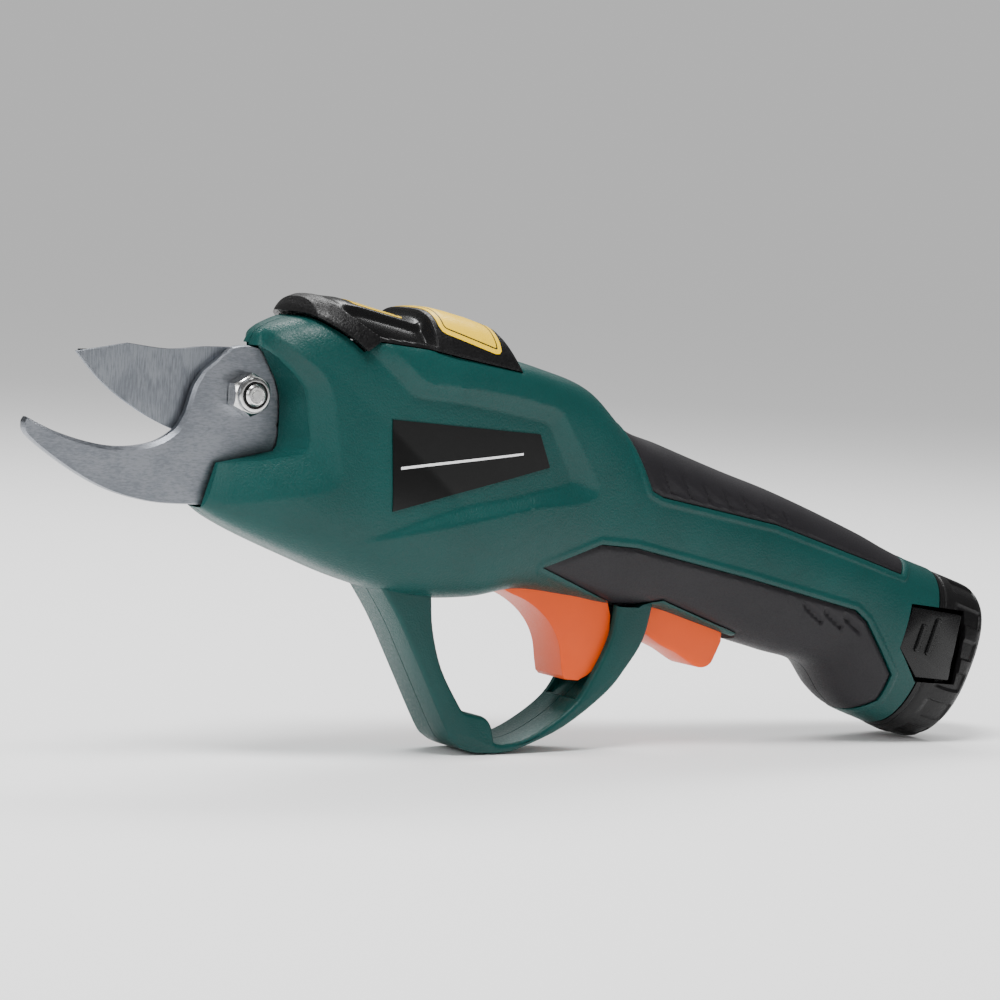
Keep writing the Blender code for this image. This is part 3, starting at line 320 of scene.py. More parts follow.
def line_distance(points, x, z):
    """Distance to an open polyline."""
    best = np.full(x.shape, 1e9)
    for (x0, z0), (x1, z1) in zip(points, points[1:]):
        dx, dz = x1 - x0, z1 - z0
        t = np.clip(((x - x0) * dx + (z - z0) * dz) / (dx * dx + dz * dz), 0.0, 1.0)
        best = np.minimum(best, np.hypot(x - x0 - t * dx, z - z0 - t * dz))
    return best


def signed_distance(outline, x, z):
    """Distance to a closed outline, positive inside."""
    closed = outline + outline[:1]
    inside = np.zeros(x.shape, bool)
    for (x0, z0), (x1, z1) in zip(closed, closed[1:]):
        if z1 != z0:
            crosses = (z0 > z) != (z1 > z)
            inside ^= crosses & (x < x0 + (z - z0) * (x1 - x0) / (z1 - z0))
    away = line_distance(closed, x, z)
    return np.where(inside, away, -away)


def soft_ramp(value, rounding=0.05):
    """0 to 1 ramp with rounded ends."""
    low = np.clip((value + rounding) / (2 * rounding), 0.0, 1.0)
    high = np.clip((1.0 + rounding - value) / (2 * rounding), 0.0, 1.0)
    start = np.where(low < 1.0, rounding * low * low, value)
    end = np.where(high < 1.0, 1.0 - rounding * high * high, start)
    return np.where(value > 0.5, end, start)


def between(outer, inner, x, z):
    """0 outside the outer outline, 1 inside the inner one, and a straight ramp between."""
    rise, fall = signed_distance(outer, x, z), signed_distance(inner, x, z)
    return soft_ramp(rise / np.maximum(rise - fall, 0.3))


def housing_depth(x, z):
    """How far the green shell lies under the smooth body: panel, nose chamfer, grip lips."""
    level = PANEL_DEPTH * np.clip((x + 66.0) / 45.0 + (z - 60.0) / 40.0, 0.0, 1.0)
    depth = level * between(PANEL_BORDER, PANEL_FLOOR, x, z)
    depth += NOSE_DEPTH * between(NOSE_CREASE, NOSE_MOUTH, x, z)
    for outline in (UPPER_GRIP, LOWER_GRIP):
        away = -signed_distance(outline, x, z)
        depth -= 0.45 * (1.0 - step_up(1.5, 2.5, away))
        depth += 0.35 * (1.0 - step_up(0.2, 0.9, away))
    edge = -signed_distance(COVER_OUTLINE, x, z)
    depth += 0.3 * (1.0 - step_up(0.2, 0.9, edge))
    return depth


RIPPLE_LINE = [(30.1, 72.4), (34.0, 70.6), (72.5, 62.9), (84.0, 59.2)]


def grip_depth(outline):
    """Rounded rim of a grip, with the pressed ripples along its edge."""
    def depth(x, z):
        inside = signed_distance(outline, x, z)
        sunk = 0.55 * (1.0 - step_up(0.0, 1.1, inside))
        if outline is UPPER_GRIP:
            along = x - 31.0 + 0.35 * (z - 70.0)
            phase = (along / 6.2) % 1.0
            above = line_distance(RIPPLE_LINE, x, z)
            reach = 7.2 - 4.4 * np.clip((x - 34.0) / 46.0, 0.0, 1.0)
            height = np.clip(1.0 - (above - 1.4) / reach, 0.0, 1.0)
            tooth = np.clip(height - phase, 0.0, 1.0)
            fade = step_up(33.0, 35.0, x) * (1.0 - step_up(74.0, 80.0, x))
            sunk = sunk + 1.5 * tooth * fade * step_up(0.9, 1.8, above)
        else:
            along = x - 82.0
            phase = (along / 7.0) % 1.0
            low = 40.6 - 0.26 * along
            band = np.clip(1.0 - np.abs(z - low + 3.4 * phase) / 1.5, 0.0, 1.0)
            fade = step_up(81.5, 82.5, x) * (1.0 - step_up(101.0, 103.0, x))
            sunk = sunk + 0.9 * band * fade
        return sunk
    return depth


def section_points(section, inset, count):
    top_x, top_z, low_x, low_z, half, low_power, top_power = section
    angle = 2 * np.pi * (np.arange(count) + 0.5) / count
    power = np.where(np.sin(angle) > 0, top_power, low_power)
    side = np.sign(np.cos(angle)) * np.abs(np.cos(angle)) ** (2 / power)
    rise = np.sign(np.sin(angle)) * np.abs(np.sin(angle)) ** (2 / power)
    middle = np.array([(top_x + low_x) / 2, (top_z + low_z) / 2])
    up = np.array([top_x - low_x, top_z - low_z]) / 2
    height = np.hypot(*up)
    up = up / height
    ring = np.empty((count, 3))
    ring[:, 0] = middle[0] + up[0] * rise * (height - inset)
    ring[:, 1] = side * (half - inset)
    ring[:, 2] = middle[1] + up[1] * rise * (height - inset)
    return even_ring(ring)


def even_ring(ring):
    """The same closed ring with its points evenly spread along it."""
    closed = np.vstack([ring, ring[:1]])
    length = np.concatenate([[0.0], np.cumsum(np.linalg.norm(np.diff(closed, axis=0), axis=1))])
    wanted = np.linspace(0.0, length[-1], len(ring), endpoint=False)
    return np.stack([np.interp(wanted, length, closed[:, k]) for k in range(3)], axis=1)


def body_loft(name, inset=0.0, first=0.0, last=None, steps=60, count=56, extend=0.0, field=None):
    """The body's skin taken in by inset, then sunk sideways by a field of x and z."""
    last = len(SECTIONS) - 1 if last is None else last
    rings = []
    for i in range(steps + 1):
        place = first + (last - first) * i / steps
        depth = inset(place) if callable(inset) else inset
        rings.append(section_points(catmull(SECTIONS, place), depth, count))
    if extend:
        rings.append(rings[-1] + np.array(AXIS) * extend)
    if field:
        for ring in rings:
            sunk = field(ring[:, 0], ring[:, 2])
            side = np.sign(ring[:, 1])
            ring[:, 1] -= side * np.minimum(sunk, np.abs(ring[:, 1]) * 0.5)
    return loft(name, rings)


def section_place(x):
    low, high = 0.0, len(SECTIONS) - 1.0
    for _ in range(30):
        middle = (low + high) / 2
        section = catmull(SECTIONS, middle)
        if (section[0] + section[2]) / 2 < x:
            low = middle
        else:
            high = middle
    return (low + high) / 2


def wall(place):
    blend = min(max((place - 5.5) / 1.0, 0.0), 1.0)
    return 2.4 + 0.4 * blend


# ---------------------------------------------------------------- materials
def shader_of(name, colour, roughness, metallic=0.0):
    mat = bpy.data.materials.new(name)
    mat.use_nodes = True
    shader = mat.node_tree.nodes["Principled BSDF"]
    shader.inputs["Base Color"].default_value = (*colour, 1.0)
    shader.inputs["Roughness"].default_value = roughness
    shader.inputs["Metallic"].default_value = metallic
    shader.inputs["Specular IOR Level"].default_value = 0.30
    return mat, shader


def node(mat, kind, **inputs):
    made = mat.node_tree.nodes.new(kind)
    for key, value in inputs.items():
        made.inputs[key.replace("_", " ")].default_value = value
    return made


def coordinates(mat, stretch=(1.0, 1.0, 1.0)):
    """Object coordinates, in metres, stretched for grain that runs one way."""
    source = mat.node_tree.nodes.new("ShaderNodeTexCoord")
    mapping = mat.node_tree.nodes.new("ShaderNodeMapping")
    mapping.inputs["Scale"].default_value = stretch
    mat.node_tree.links.new(source.outputs["Object"], mapping.inputs["Vector"])
    return mapping.outputs["Vector"]


def noise(mat, vector, scale, detail=3.0, rough=0.5):
    made = node(mat, "ShaderNodeTexNoise", Scale=scale, Detail=detail, Roughness=rough)
    mat.node_tree.links.new(vector, made.inputs["Vector"])
    return made.outputs["Fac"]


def spread(mat, value, low, high, source=(0.3, 0.7)):
    made = mat.node_tree.nodes.new("ShaderNodeMapRange")
    made.inputs["From Min"].default_value = source[0]
    made.inputs["From Max"].default_value = source[1]
    made.inputs["To Min"].default_value = low
    made.inputs["To Max"].default_value = high
    mat.node_tree.links.new(value, made.inputs["Value"])
    return made.outputs["Result"]


def mix_colour(mat, factor, first, second):
    made = mat.node_tree.nodes.new("ShaderNodeMix")
    made.data_type = "RGBA"
    made.inputs["A"].default_value = (*first, 1.0)
    made.inputs["B"].default_value = (*second, 1.0)
    mat.node_tree.links.new(factor, made.inputs["Factor"])
    return made.outputs["Result"]


def add_bump(mat, shader, height, strength, distance):
    made = mat.node_tree.nodes.new("ShaderNodeBump")
    made.inputs["Strength"].default_value = strength
    made.inputs["Distance"].default_value = distance
    mat.node_tree.links.new(height, made.inputs["Height"])
    mat.node_tree.links.new(made.outputs["Normal"], shader.inputs["Normal"])


def moulded(name, dark, light, rough, grain_scale, strength, wear=0.04):
    """Moulded plastic: spark-eroded grain, faint colour drift and uneven gloss."""
    mat, shader = shader_of(name, dark, rough[0])
    vector = coordinates(mat)
    links = mat.node_tree.links
    grain = noise(mat, vector, grain_scale, 2.0, 0.6)
    drift = noise(mat, vector, 38.0, 4.0, 0.55)
    links.new(mix_colour(mat, spread(mat, drift, 0.0, 1.0), dark, light), shader.inputs["Base Color"])
    links.new(spread(mat, grain, rough[0] - wear, rough[1] + wear), shader.inputs["Roughness"])
    add_bump(mat, shader, grain, strength, 0.00025)
    return mat


def steel(name, dark, light, rough, stretch, scale, strength):
    """Ground steel with grain along one direction and cloudy stains."""
    mat, shader = shader_of(name, dark, rough[0], 1.0)
    links = mat.node_tree.links
    grain = noise(mat, coordinates(mat, stretch), scale, 4.0, 0.65)
    cloud = noise(mat, coordinates(mat), 90.0, 5.0, 0.6)
    mixed = mat.node_tree.nodes.new("ShaderNodeMath")
    mixed.operation = "MULTIPLY"
    links.new(grain, mixed.inputs[0])
    links.new(spread(mat, cloud, 0.75, 1.25), mixed.inputs[1])
    links.new(mix_colour(mat, spread(mat, mixed.outputs[0], 0.0, 1.0, (0.35, 0.62)), dark, light),
              shader.inputs["Base Color"])
    links.new(spread(mat, grain, rough[0], rough[1]), shader.inputs["Roughness"])
    add_bump(mat, shader, grain, strength, 0.0002)
    return mat


GREEN = moulded("green_grained_plastic", (0.0008, 0.040, 0.036), (0.0014, 0.052, 0.047),
                (0.36, 0.50), 1700.0, 0.55)
BLACK = moulded("black_grained_plastic", (0.0035, 0.0033, 0.0036), (0.0062, 0.0060, 0.0064),
                (0.34, 0.50), 1500.0, 0.55)
SATIN = moulded("black_satin_plastic", (0.0035, 0.0035, 0.0037), (0.0055, 0.0054, 0.0057),
                (0.24, 0.32), 2600.0, 0.05)
SOFT = moulded("soft_touch_grip", (0.0095, 0.0085, 0.0105), (0.0140, 0.0128, 0.0152),
               (0.46, 0.60), 2200.0, 0.14)
ORANGE = moulded("orange_plastic", (0.78, 0.075, 0.001), (0.83, 0.088, 0.002),
                 (0.34, 0.44), 2400.0, 0.06)
LABEL = moulded("black_label", (0.0008, 0.0008, 0.0008), (0.0012, 0.0012, 0.0012),
                (0.30, 0.32), 300.0, 0.0, wear=0.0)
WHITE = moulded("label_print", (0.86, 0.86, 0.86), (0.90, 0.90, 0.90), (0.40, 0.5), 900.0, 0.02)
YELLOW = moulded("yellow_label", (0.90, 0.56, 0.003), (0.93, 0.60, 0.008), (0.36, 0.42), 1100.0,
                 0.03)
PRINT = moulded("black_print", (0.012, 0.011, 0.010), (0.02, 0.02, 0.018), (0.4, 0.5), 1100.0, 0.02)
BLADE = steel("ground_blade_steel", (0.19, 0.205, 0.23), (0.30, 0.32, 0.35), (0.34, 0.46),
              (1.0, 1.0, 0.10), 2600.0, 0.10)
HOOK = steel("ground_hook_steel", (0.20, 0.215, 0.24), (0.29, 0.305, 0.335), (0.32, 0.44),
             (0.25, 1.0, 1.0), 2600.0, 0.08)
ZINC = steel("zinc_plated_steel", (0.62, 0.62, 0.62), (0.78, 0.78, 0.76), (0.16, 0.26),
             (1.0, 1.0, 1.0), 900.0, 0.08)
CAST = steel("die_cast_aluminium", (0.30, 0.30, 0.31), (0.44, 0.44, 0.45), (0.45, 0.65),
             (1.0, 1.0, 1.0), 1400.0, 0.35)
GEAR = steel("gear_steel", (0.20, 0.20, 0.21), (0.42, 0.42, 0.43), (0.28, 0.45),
             (1.0, 1.0, 1.0), 1200.0, 0.10)
BRONZE = steel("sintered_bronze", (0.32, 0.20, 0.08), (0.50, 0.33, 0.14), (0.35, 0.5),
               (1.0, 1.0, 1.0), 2000.0, 0.15)
CONTACT = steel("contact_metal", (0.60, 0.42, 0.16), (0.80, 0.60, 0.28), (0.2, 0.35),
                (1.0, 1.0, 1.0), 1200.0, 0.05)
BOARD = moulded("circuit_board", (0.008, 0.10, 0.03), (0.015, 0.16, 0.05), (0.3, 0.45), 700.0, 0.1)
WRAP = moulded("cell_wrap", (0.03, 0.10, 0.32), (0.04, 0.13, 0.38), (0.2, 0.3), 500.0, 0.03)
RED_WIRE = moulded("red_wire_skin", (0.42, 0.015, 0.012), (0.5, 0.02, 0.016), (0.35, 0.45), 900.0, 0.05)


# ---------------------------------------------------------------- housing
SCREWS = [name for name in frame["nodes"] if name.startswith("housing_screw")]


def middle_of(name):
    low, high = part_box(name)
    return ((low.x + high.x) / 2 / MM, (low.z + high.z) / 2 / MM)


def cut_slots(piece):
    """Slots of the trigger and the lock lever."""
    boolean(piece, prism("cut", TRIGGER_SLOT, -7.8, 7.8))
    boolean(piece, prism("cut", LEVER_SLOT, -7.3, 7.3))


def guard_blank():
    """The guard's band, with rounded edges."""
    outline = smooth_line(GUARD_OUTER, 4) + smooth_line(GUARD_INNER, 4)
    guard = prism("guard", outline, -10.0, 10.0)
    return bevel(guard, 1.5, 3, 50.0)


def split_off_right(piece):
    """Cut the piece along its parting line; it keeps the left half and the right is returned."""
    right = piece.copy()
    right.data = piece.data.copy()
    bpy.context.scene.collection.objects.link(right)
    around = [(-200.0, -20.0), (200.0, -20.0), (200.0, 160.0), (-200.0, 160.0)]
    boolean(piece, side_prism("half", around, -1, SPLIT, 60.0), "INTERSECT")
    boolean(right, side_prism("half", around, 1, SPLIT, 60.0), "INTERSECT")
    return right


def make_housing():
    steps, count = ((560, 300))
    shell = body_loft("housing", steps=steps, count=count, field=housing_depth)
    cavity = body_loft("cavity", wall, first=3.0, steps=60, count=60, extend=12.0,
                       field=lambda x, z: NOSE_DEPTH * between(NOSE_CREASE, NOSE_MOUTH, x, z)
                       + 0.6)
    for name in SCREWS:
        boolean(cavity, round_y("post", middle_of(name), [(-40, 2.6), (40, 2.6)], count=16))
    for pin in (TRIGGER_PIN, LEVER_PIN):
        for side in (-1, 1):
            y0, y1 = sorted((side * 8.4, side * FAR))
            boolean(cavity, round_y("pin_post", pin, [(y0, 3.4), (y1, 3.4)], count=24))
    boolean(shell, cavity)
    boolean(shell, guard_blank(), "UNION")
    for side in (-1, 1):
        rings = [[(x, side * y, z) for x, z in outline]
                 for y, outline in ((2.0, NOSE_FLOOR), (3.9, NOSE_FLOOR), (16.5, NOSE_MOUTH),
                                    (FAR, NOSE_MOUTH))]
        boolean(shell, loft("nose_room", rings))
    slot = [(-112.0, 67.4), (-100.5, 66.5), (-92.0, 65.3), (-84.0, 62.0), (-76.0, 60.1),
            (-60.0, 60.1), (-60.0, 104.0), (-72.5, 104.0), (-78.0, 108.8), (-112.0, 109.2)]
    boolean(shell, prism("slot", slot, -3.9, 3.9))
    cut_slots(shell)
    boolean(shell, prism("cover_gap", offset(COVER_OUTLINE, GAP)))
    for outline in (UPPER_GRIP, LOWER_GRIP):
        skin = body_loft("skin", -1.5, steps=60, count=60)
        boolean(skin, body_loft("core", POCKET, steps=60, count=60, extend=2.0))
        boolean(skin, prism("gap", offset(outline, GAP)), "INTERSECT")
        boolean(shell, skin)
    for side in (-1, 1):
        boolean(shell, side_prism("latch_gap", LATCH_NOTCH, side, 12.0))
    right = split_off_right(shell)
    room = [(-81.4, 60.9), (-60.0, 60.9), (-60.0, 75.5), (-81.4, 75.5)]
    boolean(shell, prism("foot_room", room, -6.2, 1.0))
    boolean(right, prism("foot_room", room, -1.0, 12.6))
    gear_room = [(-112.0, 77.0), (-83.0, 79.5), (-83.0, 70.0), (-60.0, 70.0), (-60.0, 104.0),
                 (-63.0, 107.6), (-66.0, 109.6), (-76.0, 109.6), (-112.0, 109.0)]
    boolean(right, prism("gear_room", gear_room, -1.0, 10.3))
    for name in SCREWS:
        spot = middle_of(name)
        boolean(shell, round_y("hole", spot, [(-9.6, 1.6), (5.0, 1.6)], count=16))
        boolean(right, round_y("hole", spot, [(-5.0, 1.6), (7.0, 1.6), (7.0, 2.4), (40.0, 2.4)],
                               count=24))
    finish_piece(shell, "left_shell", GREEN, "housing", "green", "left_housing")
    finish_piece(right, "right_shell", GREEN, "housing", "green", "right_housing")


def make_grips():
    steps, count = ((440, 200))
    for label, outline in (("upper_grip", UPPER_GRIP), ("lower_grip", LOWER_GRIP)):
        skin = body_loft("skin", steps=steps, count=count, field=grip_depth(outline))
        boolean(skin, body_loft("core", GRIP + 0.1, steps=90, count=80, extend=2.0))
        boolean(skin, prism("cut", outline), "INTERSECT")
        if outline is LOWER_GRIP:
            cut_slots(skin)
        other = split_off_right(skin)
        finish_piece(skin, f"{label}_skin_left", SOFT, "housing", "grip", f"{label}_left")
        finish_piece(other, f"{label}_skin_right", SOFT, "housing", "grip", f"{label}_right")


# ---------------------------------------------------------------- cover and stickers
def at(profile, x):
    xs, values = zip(*profile)
    return float(np.interp(x, xs, values))


def satin_depth(x, y, z):
    """Depth of the smooth dip in the hood, with a crease along its raised middle."""
    inside = soft_ramp(signed_distance(SATIN_AREA, x, z) / 1.8)
    side = step_up(11.6, 14.2, np.abs(y)) * step_up(-69.0, -61.0, x)
    return inside * (0.45 + 1.6 * side)


def cover_ring(x, inset, count):
    """A ring of the cover's outer surface; the hump rises behind the hood's dip."""
    low_z, half, low_power = catmull(SECTIONS, section_place(x))[3:6]
    rise = min(max((x + 43.4) / 3.6, 0.0), 1.0) ** 1.7
    top = at(HOOD_TOP, x) * (1.0 - rise) + at(HUMP_TOP, x) * rise
    ring = section_points((x, top, x, low_z, half, low_power, at(COVER_POWER, x)), inset, count)
    middle = (top + low_z) / 2
    sunk = satin_depth(ring[:, 0], ring[:, 1], ring[:, 2]) * (ring[:, 2] > middle)
    rim = -signed_distance(COVER_OUTLINE, ring[:, 0], ring[:, 2])
    sunk += 0.4 * (1.0 - step_up(0.0, 0.9, -rim)) * (inset == 0.0)
    reach = ring[:, 2] - middle
    length = np.hypot(ring[:, 1], reach)
    ring[:, 1] -= ring[:, 1] / length * sunk
    ring[:, 2] -= reach / length * sunk
    return ring


def cover_loft(name, inset, steps, count):
    return loft(name, [cover_ring(-76.0 + 64.5 * i / steps, inset, count)
                       for i in range(steps + 1)])


def plan_prism(name, outline, z0, z1):
    return loft(name, [[(x, y, z) for x, y in outline] for z in (z0, z1)])


def make_cover():
    steps, count = ((380, 420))
    cover = cover_loft("cover", 0.0, steps, count)
    boolean(cover, prism("cut", COVER_OUTLINE), "INTERSECT")
    inner = cover_loft("inner", 2.2, 60, 60)
    ends = [(-72.0, 60.0), (-19.8, 60.0), (-19.8, 140.0), (-72.0, 140.0)]
    boolean(inner, prism("ends", ends), "INTERSECT")
    boolean(cover, inner)
    finish_piece(cover, "cover_shell", BLACK, "housing", "black", "top_cover", angle=26.0)
    cover.data.materials.append(SATIN)
    for face in cover.data.polygons:
        spot = face.center / MM
        inside = signed_distance(SATIN_AREA, np.array([spot.x]), np.array([spot.z]))[0]
        if inside > 0.25 and face.normal.z > 0.0:
            face.material_index = 1


def skin_patch(name, mat, outside, inside, region):
    """What lies between two skins within a region, as a thin sticker."""
    boolean(outside, region, "INTERSECT")
    boolean(outside, inside)
    finish_piece(outside, name, mat, "housing", "label", angle=50.0)


def rounded(x0, y0, x1, y1, radius, steps=5):
    """A rectangle with round corners, as points in plan."""
    corners = [(x1 - radius, y1 - radius, 0), (x0 + radius, y1 - radius, 90),
               (x0 + radius, y0 + radius, 180), (x1 - radius, y0 + radius, 270)]
    outline = []
    for x, y, start in corners:
        outline += arc((x, y), radius, start, start + 90, steps)
    return outline


def make_stickers():
    steps, count = ((200, 320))
    rear = [(-38.5, 130.0), (-38.4, 115.6), (-37.8, 114.3), (-36.6, 113.6), (-22.2, 108.7),
            (-20.9, 108.7), (-20.0, 109.5), (-19.7, 111.5), (-19.9, 130.0)]
    front = rounded(-60.8, -10.6, -45.6, 10.6, 1.5)
    skin_patch("rear_sticker", YELLOW, cover_loft("outside", -0.12, steps, count),
               cover_loft("inside", 0.3, 60, 120), prism("region", rear))
    line = prism("line", offset(rear, -1.3))
    boolean(line, prism("hole", offset(rear, -1.65), -41.0, 41.0))
    skin_patch("rear_print", PRINT, cover_loft("outside", -0.16, steps, count),
               cover_loft("inside", 0.0, 60, 120), line)
    skin_patch("front_sticker", YELLOW, cover_loft("outside", -0.12, steps, count),
               cover_loft("inside", 0.3, 60, 120), plan_prism("region", front, 100.0, 130.0))
    line = plan_prism("line", offset(front, -1.1), 100.0, 130.0)
    boolean(line, plan_prism("hole", offset(front, -1.4), 99.0, 131.0))
    skin_patch("front_print", PRINT, cover_loft("outside", -0.16, steps, count),
               cover_loft("inside", 0.0, 60, 120), line)
    make_side_labels()


def make_side_labels():
    """Plain black labels on the panel floors; the left one has a plain white line."""
    def skin(name, lift):
        return body_loft(name, first=2.0, last=10.0, steps=200, count=220,
                         field=lambda x, z: housing_depth(x, z) - lift)

    for side, word in ((-1, "left"), (1, "right")):
        label = skin("label", 0.35)
        boolean(label, side_prism("region", SIDE_LABEL, side, 6.0), "INTERSECT")
        boolean(label, skin("inside", -0.3))
        finish_piece(label, f"side_sticker_{word}", LABEL, "housing", "label",
                     f"side_label_{word}", angle=40.0)
    line = skin("line", 0.39)
    strip = [(-50.2, 77.9), (-12.6, 81.9), (-12.6, 82.5), (-50.2, 78.6)]
    boolean(line, side_prism("region", strip, -1, 6.0), "INTERSECT")
    boolean(line, skin("inside", 0.2))
    finish_piece(line, "side_print_left", WHITE, "housing", "label")


# ---------------------------------------------------------------- blades and pivot
def taper_in(outline, near_edge, grind, chamfer):
    """The outline taken in by the chamfer, and along the edge by a grind that fades at its ends."""
    deep, slight = np.array(offset(outline, -grind)), np.array(offset(outline, -chamfer))
    cut = np.flatnonzero(near_edge)
    along = np.zeros(len(outline))
    along[cut] = np.sin(np.pi * np.linspace(0.04, 0.96, len(cut))) ** 0.5
    return slight + (deep - slight) * along[:, None]


def edge_loft(name, outline, near_edge, y_edge, y_face, y_back, grind, chamfer=0.25):
    """A plate whose points on near_edge are ground back on its face."""
    shrunk = offset(outline, -chamfer)
    face = taper_in(outline, near_edge, grind, chamfer)
    rings = [[(x, y, z) for x, z in points]
             for y, points in ((y_back, shrunk), (y_back + (y_face - y_back) * 0.08, outline),
                               (y_edge, outline), (y_face, face))]
    return loft(name, rings)


def make_blades():
    inner = smooth_line(HOOK_INNER + [HOOK_OUTER[0]], 6)[:-1]
    outer = smooth_line(HOOK_OUTER[:8], 6) + HOOK_OUTER[8:]
    back = arc(PIVOT, HOOK_BACK_R, -40.0, 108.0, 40)
    outline = outer + back + inner
    on_edge = [False] * (len(outer) + len(back)) + [True] * len(inner)
    hook = edge_loft("hook", outline, on_edge, -2.35, -3.2, -0.3, 1.15)
    boolean(hook, round_y("bore", PIVOT, [(-6, 3.3), (2, 3.3)]))
    for name in ("hook_screw_1", "hook_screw_2"):
        boolean(hook, round_y("bore", middle_of(name), [(-6, 2.3), (2, 2.3)], count=24))
    finish_piece(hook, "hook_plate", HOOK, "housing", "blade", "hook_blade", angle=20.0)

    edge = smooth_line(BLADE_EDGE, 8)
    spine = smooth_line(BLADE_BACK, 6)
    outline = edge + spine + arc(PIVOT, BLADE_BACK_R, 90.0, -110.0, 48)
    on_edge = [True] * len(edge) + [False] * (len(outline) - len(edge))
    blade = edge_loft("blade", outline, on_edge, 0.75, 2.9, 0.3, 3.2)
    boolean(blade, round_y("bore", PIVOT, [(-2, 4.6), (6, 4.6)]))
    finish_piece(blade, "blade_plate", BLADE, "blade", "blade", "cutting_blade", angle=20.0)


def make_nut():
    """M6 locknut: chamfered hexagon, round collar, nylon ring and the bolt's end."""
    across = 5.0 / math.cos(math.pi / 6)
    nut = round_y("nut", PIVOT, [(-8.3, across), (-3.5, across)], count=6, start=math.pi / 6)
    cone = round_y("cone", PIVOT, [(-8.4, 4.75), (-7.7, 5.35), (-7.0, 5.8), (-4.1, 5.8), (-3.5, 5.2)])
    boolean(nut, cone, "INTERSECT")
    collar = round_y("collar", PIVOT, [(-9.5, 3.75), (-9.5, 4.15), (-9.35, 4.4), (-9.0, 4.55),
                                       (-8.2, 4.65), (-7.9, 4.65)])
    boolean(nut, collar, "UNION")
    boolean(nut, round_y("bore", PIVOT, [(-12.0, 3.62), (-8.6, 3.62), (-8.6, 3.2), (0.0, 3.2)]))
    finish_piece(nut, "lock_nut", ZINC, "housing", "zinc", "pivot_nut")
    ring = round_y("ring", PIVOT, [(-9.35, 3.15), (-9.35, 3.4), (-9.2, 3.55), (-8.7, 3.55),
                                   (-8.7, 3.15)])
    boolean(ring, round_y("bore", PIVOT, [(-12.0, 3.02), (0.0, 3.02)]))
    finish_piece(ring, "nylon_ring", SATIN, "housing", "black")
    bolt = round_y("bolt", PIVOT, [(-10.55, 1.2), (-10.3, 1.3), (-10.3, 1.9), (-10.6, 2.1),
                                   (-10.45, 2.5), (-9.9, 2.9), (10.2, 2.9)])
    head = round_y("head", PIVOT, [(10.25, 5.4), (13.1, 5.6), (13.6, 5.2), (13.9, 4.6)], count=6)
    boolean(bolt, head, "UNION")
    boolean(bolt, round_y("neck", PIVOT, [(5.0, 2.9), (12.0, 2.9)]), "UNION")
    finish_piece(bolt, "pivot_screw", ZINC, "housing", "zinc", "pivot_bolt")


# ---------------------------------------------------------------- controls
def make_controls():
    outline = smooth_line(TRIGGER_OUTLINE[:8], 6) + TRIGGER_OUTLINE[8:]
    trigger = bevel(prism("trigger", outline, -7.5, 7.5), 2.2, 5, 55.0)
    boolean(trigger, round_y("bore", TRIGGER_PIN, [(-20, 1.8), (20, 1.8)]))
    finish_piece(trigger, "trigger_body", ORANGE, "trigger", "orange", "trigger")
    outline = smooth_line(LEVER_OUTLINE[:9], 5) + LEVER_OUTLINE[9:]
    lever = bevel(prism("lever", outline, -7.0, 7.0), 1.6, 4, 55.0)
    boolean(lever, round_y("bore", LEVER_PIN, [(-20, 1.8), (20, 1.8)]))
    finish_piece(lever, "lever_body", ORANGE, "lock_lever", "orange", "lock_lever")


# ---------------------------------------------------------------- battery cap
def cap_depth(around, along):
    """Pressed facets round the cap's rim; around and along run from 0 to 1."""
    cell = (around * 14.0) % 1.0
    across = step_up(0.18, 0.26, cell) * (1.0 - step_up(0.74, 0.82, cell))
    length = step_up(0.34, 0.42, along) * (1.0 - step_up(0.78, 0.86, along))
    seam = np.exp(-(((along - 0.2) / 0.03) ** 2))
    return 0.75 * across * length + 0.35 * seam


def make_cap():
    steps, count = ((80, 380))
    rings = []
    for i in range(steps + 1):
        along = i / steps
        ring = section_points(catmull(CAP_SECTIONS, along * (len(CAP_SECTIONS) - 1)), 0.0, count)
        sunk = cap_depth(np.arange(count) / count, along)
        centre = ring.mean(axis=0)
        away = ring - centre
        ring = ring - away / np.linalg.norm(away, axis=1)[:, None] * np.reshape(sunk, (-1, 1))
        rings.append(ring)
    cap = loft("cap", rings)
    mouth = section_points(CAP_SECTIONS[0], 2.2, 60)
    boolean(cap, loft("room", [mouth + np.array(AXIS) * shift for shift in (-6.0, 13.2)]))
    for side in (-1, 1):
        boolean(cap, side_prism("latch_room", LATCH_NOTCH, side, 12.0))
    finish_piece(cap, "cap_shell", BLACK, "battery", "black", "battery_cap")
    for side, word in ((-1, "left"), (1, "right")):
        make_latch(side, word)


def make_latch(side, word):
    """Release latch with its two raised ridges."""
    latch = bevel(side_prism("latch", LATCH_OUTLINE, side, 16.0, 17.4), 0.5, 2, 50.0)
    for x, z, length in ((123.2, 30.4, 3.4), (127.6, 30.6, 4.8)):
        up = Vector((-AXIS.z, AXIS.x))
        ends = [Vector((x, z)) + up * length, Vector((x, z)) - up * length]
        outline = arc(ends[0], 0.8, -20.0, 160.0, 8) + arc(ends[1], 0.8, 160.0, 340.0, 8)
        rings = [[(px, side * 17.0, pz) for px, pz in outline],
                 [(px, side * 17.9, pz) for px, pz in outline],
                 [(px, side * 18.2, pz) for px, pz in offset(outline, -0.35)]]
        boolean(latch, loft("ridge", rings), "UNION")
    finish_piece(latch, f"latch_pad_{word}", SATIN, f"latch_{word}", "black", f"latch_{word}")


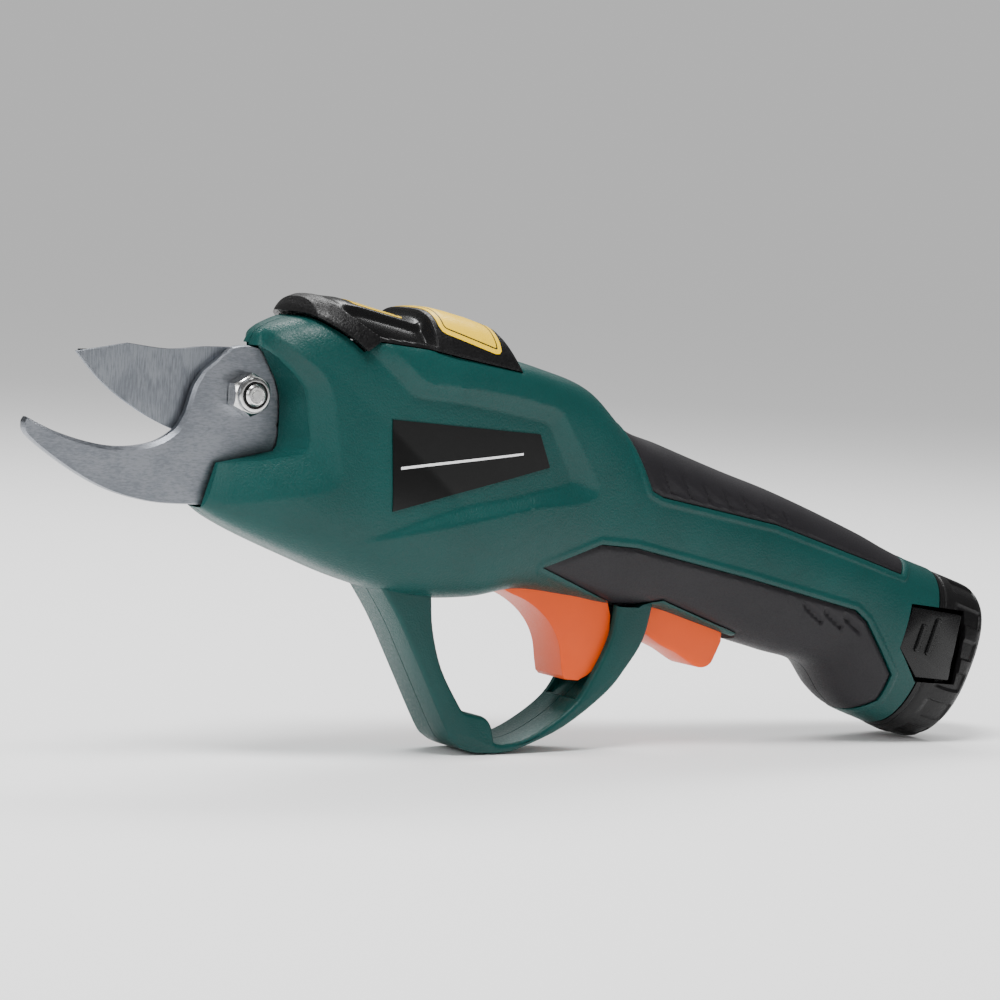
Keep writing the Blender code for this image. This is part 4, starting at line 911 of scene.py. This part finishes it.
# ---------------------------------------------------------------- carried-over parts
CARRIED = {
    "pivot_plate": HOOK, "gear_frame": CAST, "gearbox_case": CAST, "motor_can": ZINC,
    "motor_end_cap": SATIN, "blade_gear": GEAR, "output_pinion": GEAR, "shaft_bearing": GEAR,
    "pivot_bush": BRONZE, "controller_board": BOARD, "battery_board": BOARD,
    "trigger_switch": SATIN, "lock_switch": SATIN, "terminal_block": SATIN,
    "battery_case": BLACK, "battery_base": BLACK, "motor_lead_red": RED_WIRE,
    "motor_lead_black": SATIN, "contact_blade_1": CONTACT, "contact_blade_2": CONTACT,
}


def dress_carried():
    """Give every CAD node that stays its finished material."""
    for name, item in frame["nodes"].items():
        if name in CARRIED:
            mat = CARRIED[name]
        elif name.startswith("cell"):
            mat = WRAP
        elif "screw" in name or "pin" in name or "spring" in name:
            mat = ZINC
        else:
            continue
        for slot in item.material_slots:
            slot.material = mat


# ---------------------------------------------------------------- camera, floor and light
def make_camera():
    """View from the front left, slightly above, with a small roll."""
    right = Vector((0.86476, -0.5, 0.04683)).normalized()
    back = Vector((-0.50218, -0.86128, 0.07749)).normalized()
    up = back.cross(right)
    data = bpy.data.cameras.new("camera")
    data.sensor_width = 36.0
    data.lens = 145.5
    camera = bpy.data.objects.new("camera", data)
    target = Vector((-7.5, 0.0, 68.1)) * MM
    basis = Matrix((right, up, back)).transposed().to_4x4()
    camera.matrix_world = Matrix.Translation(target + back * 1.1) @ basis
    bpy.context.scene.collection.objects.link(camera)
    bpy.context.scene.camera = camera


def area_light(name, place, aim, size, power):
    data = bpy.data.lights.new(name, "AREA")
    data.shape = "RECTANGLE"
    data.size, data.size_y = size
    data.energy = power
    lamp = bpy.data.objects.new(name, data)
    lamp.location = place
    lamp.rotation_euler = (Vector(aim) - Vector(place)).to_track_quat("-Z", "Y").to_euler()
    bpy.context.scene.collection.objects.link(lamp)


def make_stage():
    mesh = bpy.data.meshes.new("floor")
    size = 60.0
    level = -0.0004
    mesh.from_pydata([(-size, -size, level), (size, -size, level), (size, size, level),
                      (-size, size, level)], [], [(0, 1, 2, 3)])
    floor = bpy.data.objects.new("floor", mesh)
    bpy.context.scene.collection.objects.link(floor)
    mat, shader = shader_of("pale_floor", (0.94, 0.94, 0.94), 0.9)
    shader.inputs["Specular IOR Level"].default_value = 0.0
    mesh.materials.append(mat)
    make_world()
    area_light("key", (-0.30, -0.28, 1.10), (-0.02, 0.0, 0.08), (0.50, 0.30), 16.0)
    area_light("rim", (0.30, 0.65, 0.95), (0.0, 0.0, 0.09), (0.9, 0.3), 11.0)
    area_light("front", (-1.1, -0.35, 0.55), (-0.08, 0.0, 0.09), (0.3, 0.5), 3.5)


def make_world():
    """Even white light; the camera sees it as bright as the far floor, and gloss sees less."""
    world = bpy.data.worlds.new("studio")
    bpy.context.scene.world = world
    world.use_nodes = True
    nodes, links = world.node_tree.nodes, world.node_tree.links
    path = nodes.new("ShaderNodeLightPath")
    glossy = nodes.new("ShaderNodeMapRange")
    glossy.inputs["To Min"].default_value = WORLD_LIGHT
    glossy.inputs["To Max"].default_value = WORLD_LIGHT * 0.25
    links.new(path.outputs["Is Glossy Ray"], glossy.inputs["Value"])
    seen = nodes.new("ShaderNodeMath")
    seen.operation = "MULTIPLY_ADD"
    seen.inputs[1].default_value = -0.06 * WORLD_LIGHT
    links.new(path.outputs["Is Camera Ray"], seen.inputs[0])
    links.new(glossy.outputs["Result"], seen.inputs[2])
    nodes["Background"].inputs["Color"].default_value = (1.0, 1.0, 1.0, 1.0)
    links.new(seen.outputs["Value"], nodes["Background"].inputs["Strength"])


make_camera()
make_stage()
make_housing()
make_grips()
make_cover()
make_stickers()
make_blades()
make_nut()
make_controls()
make_cap()
dress_carried()
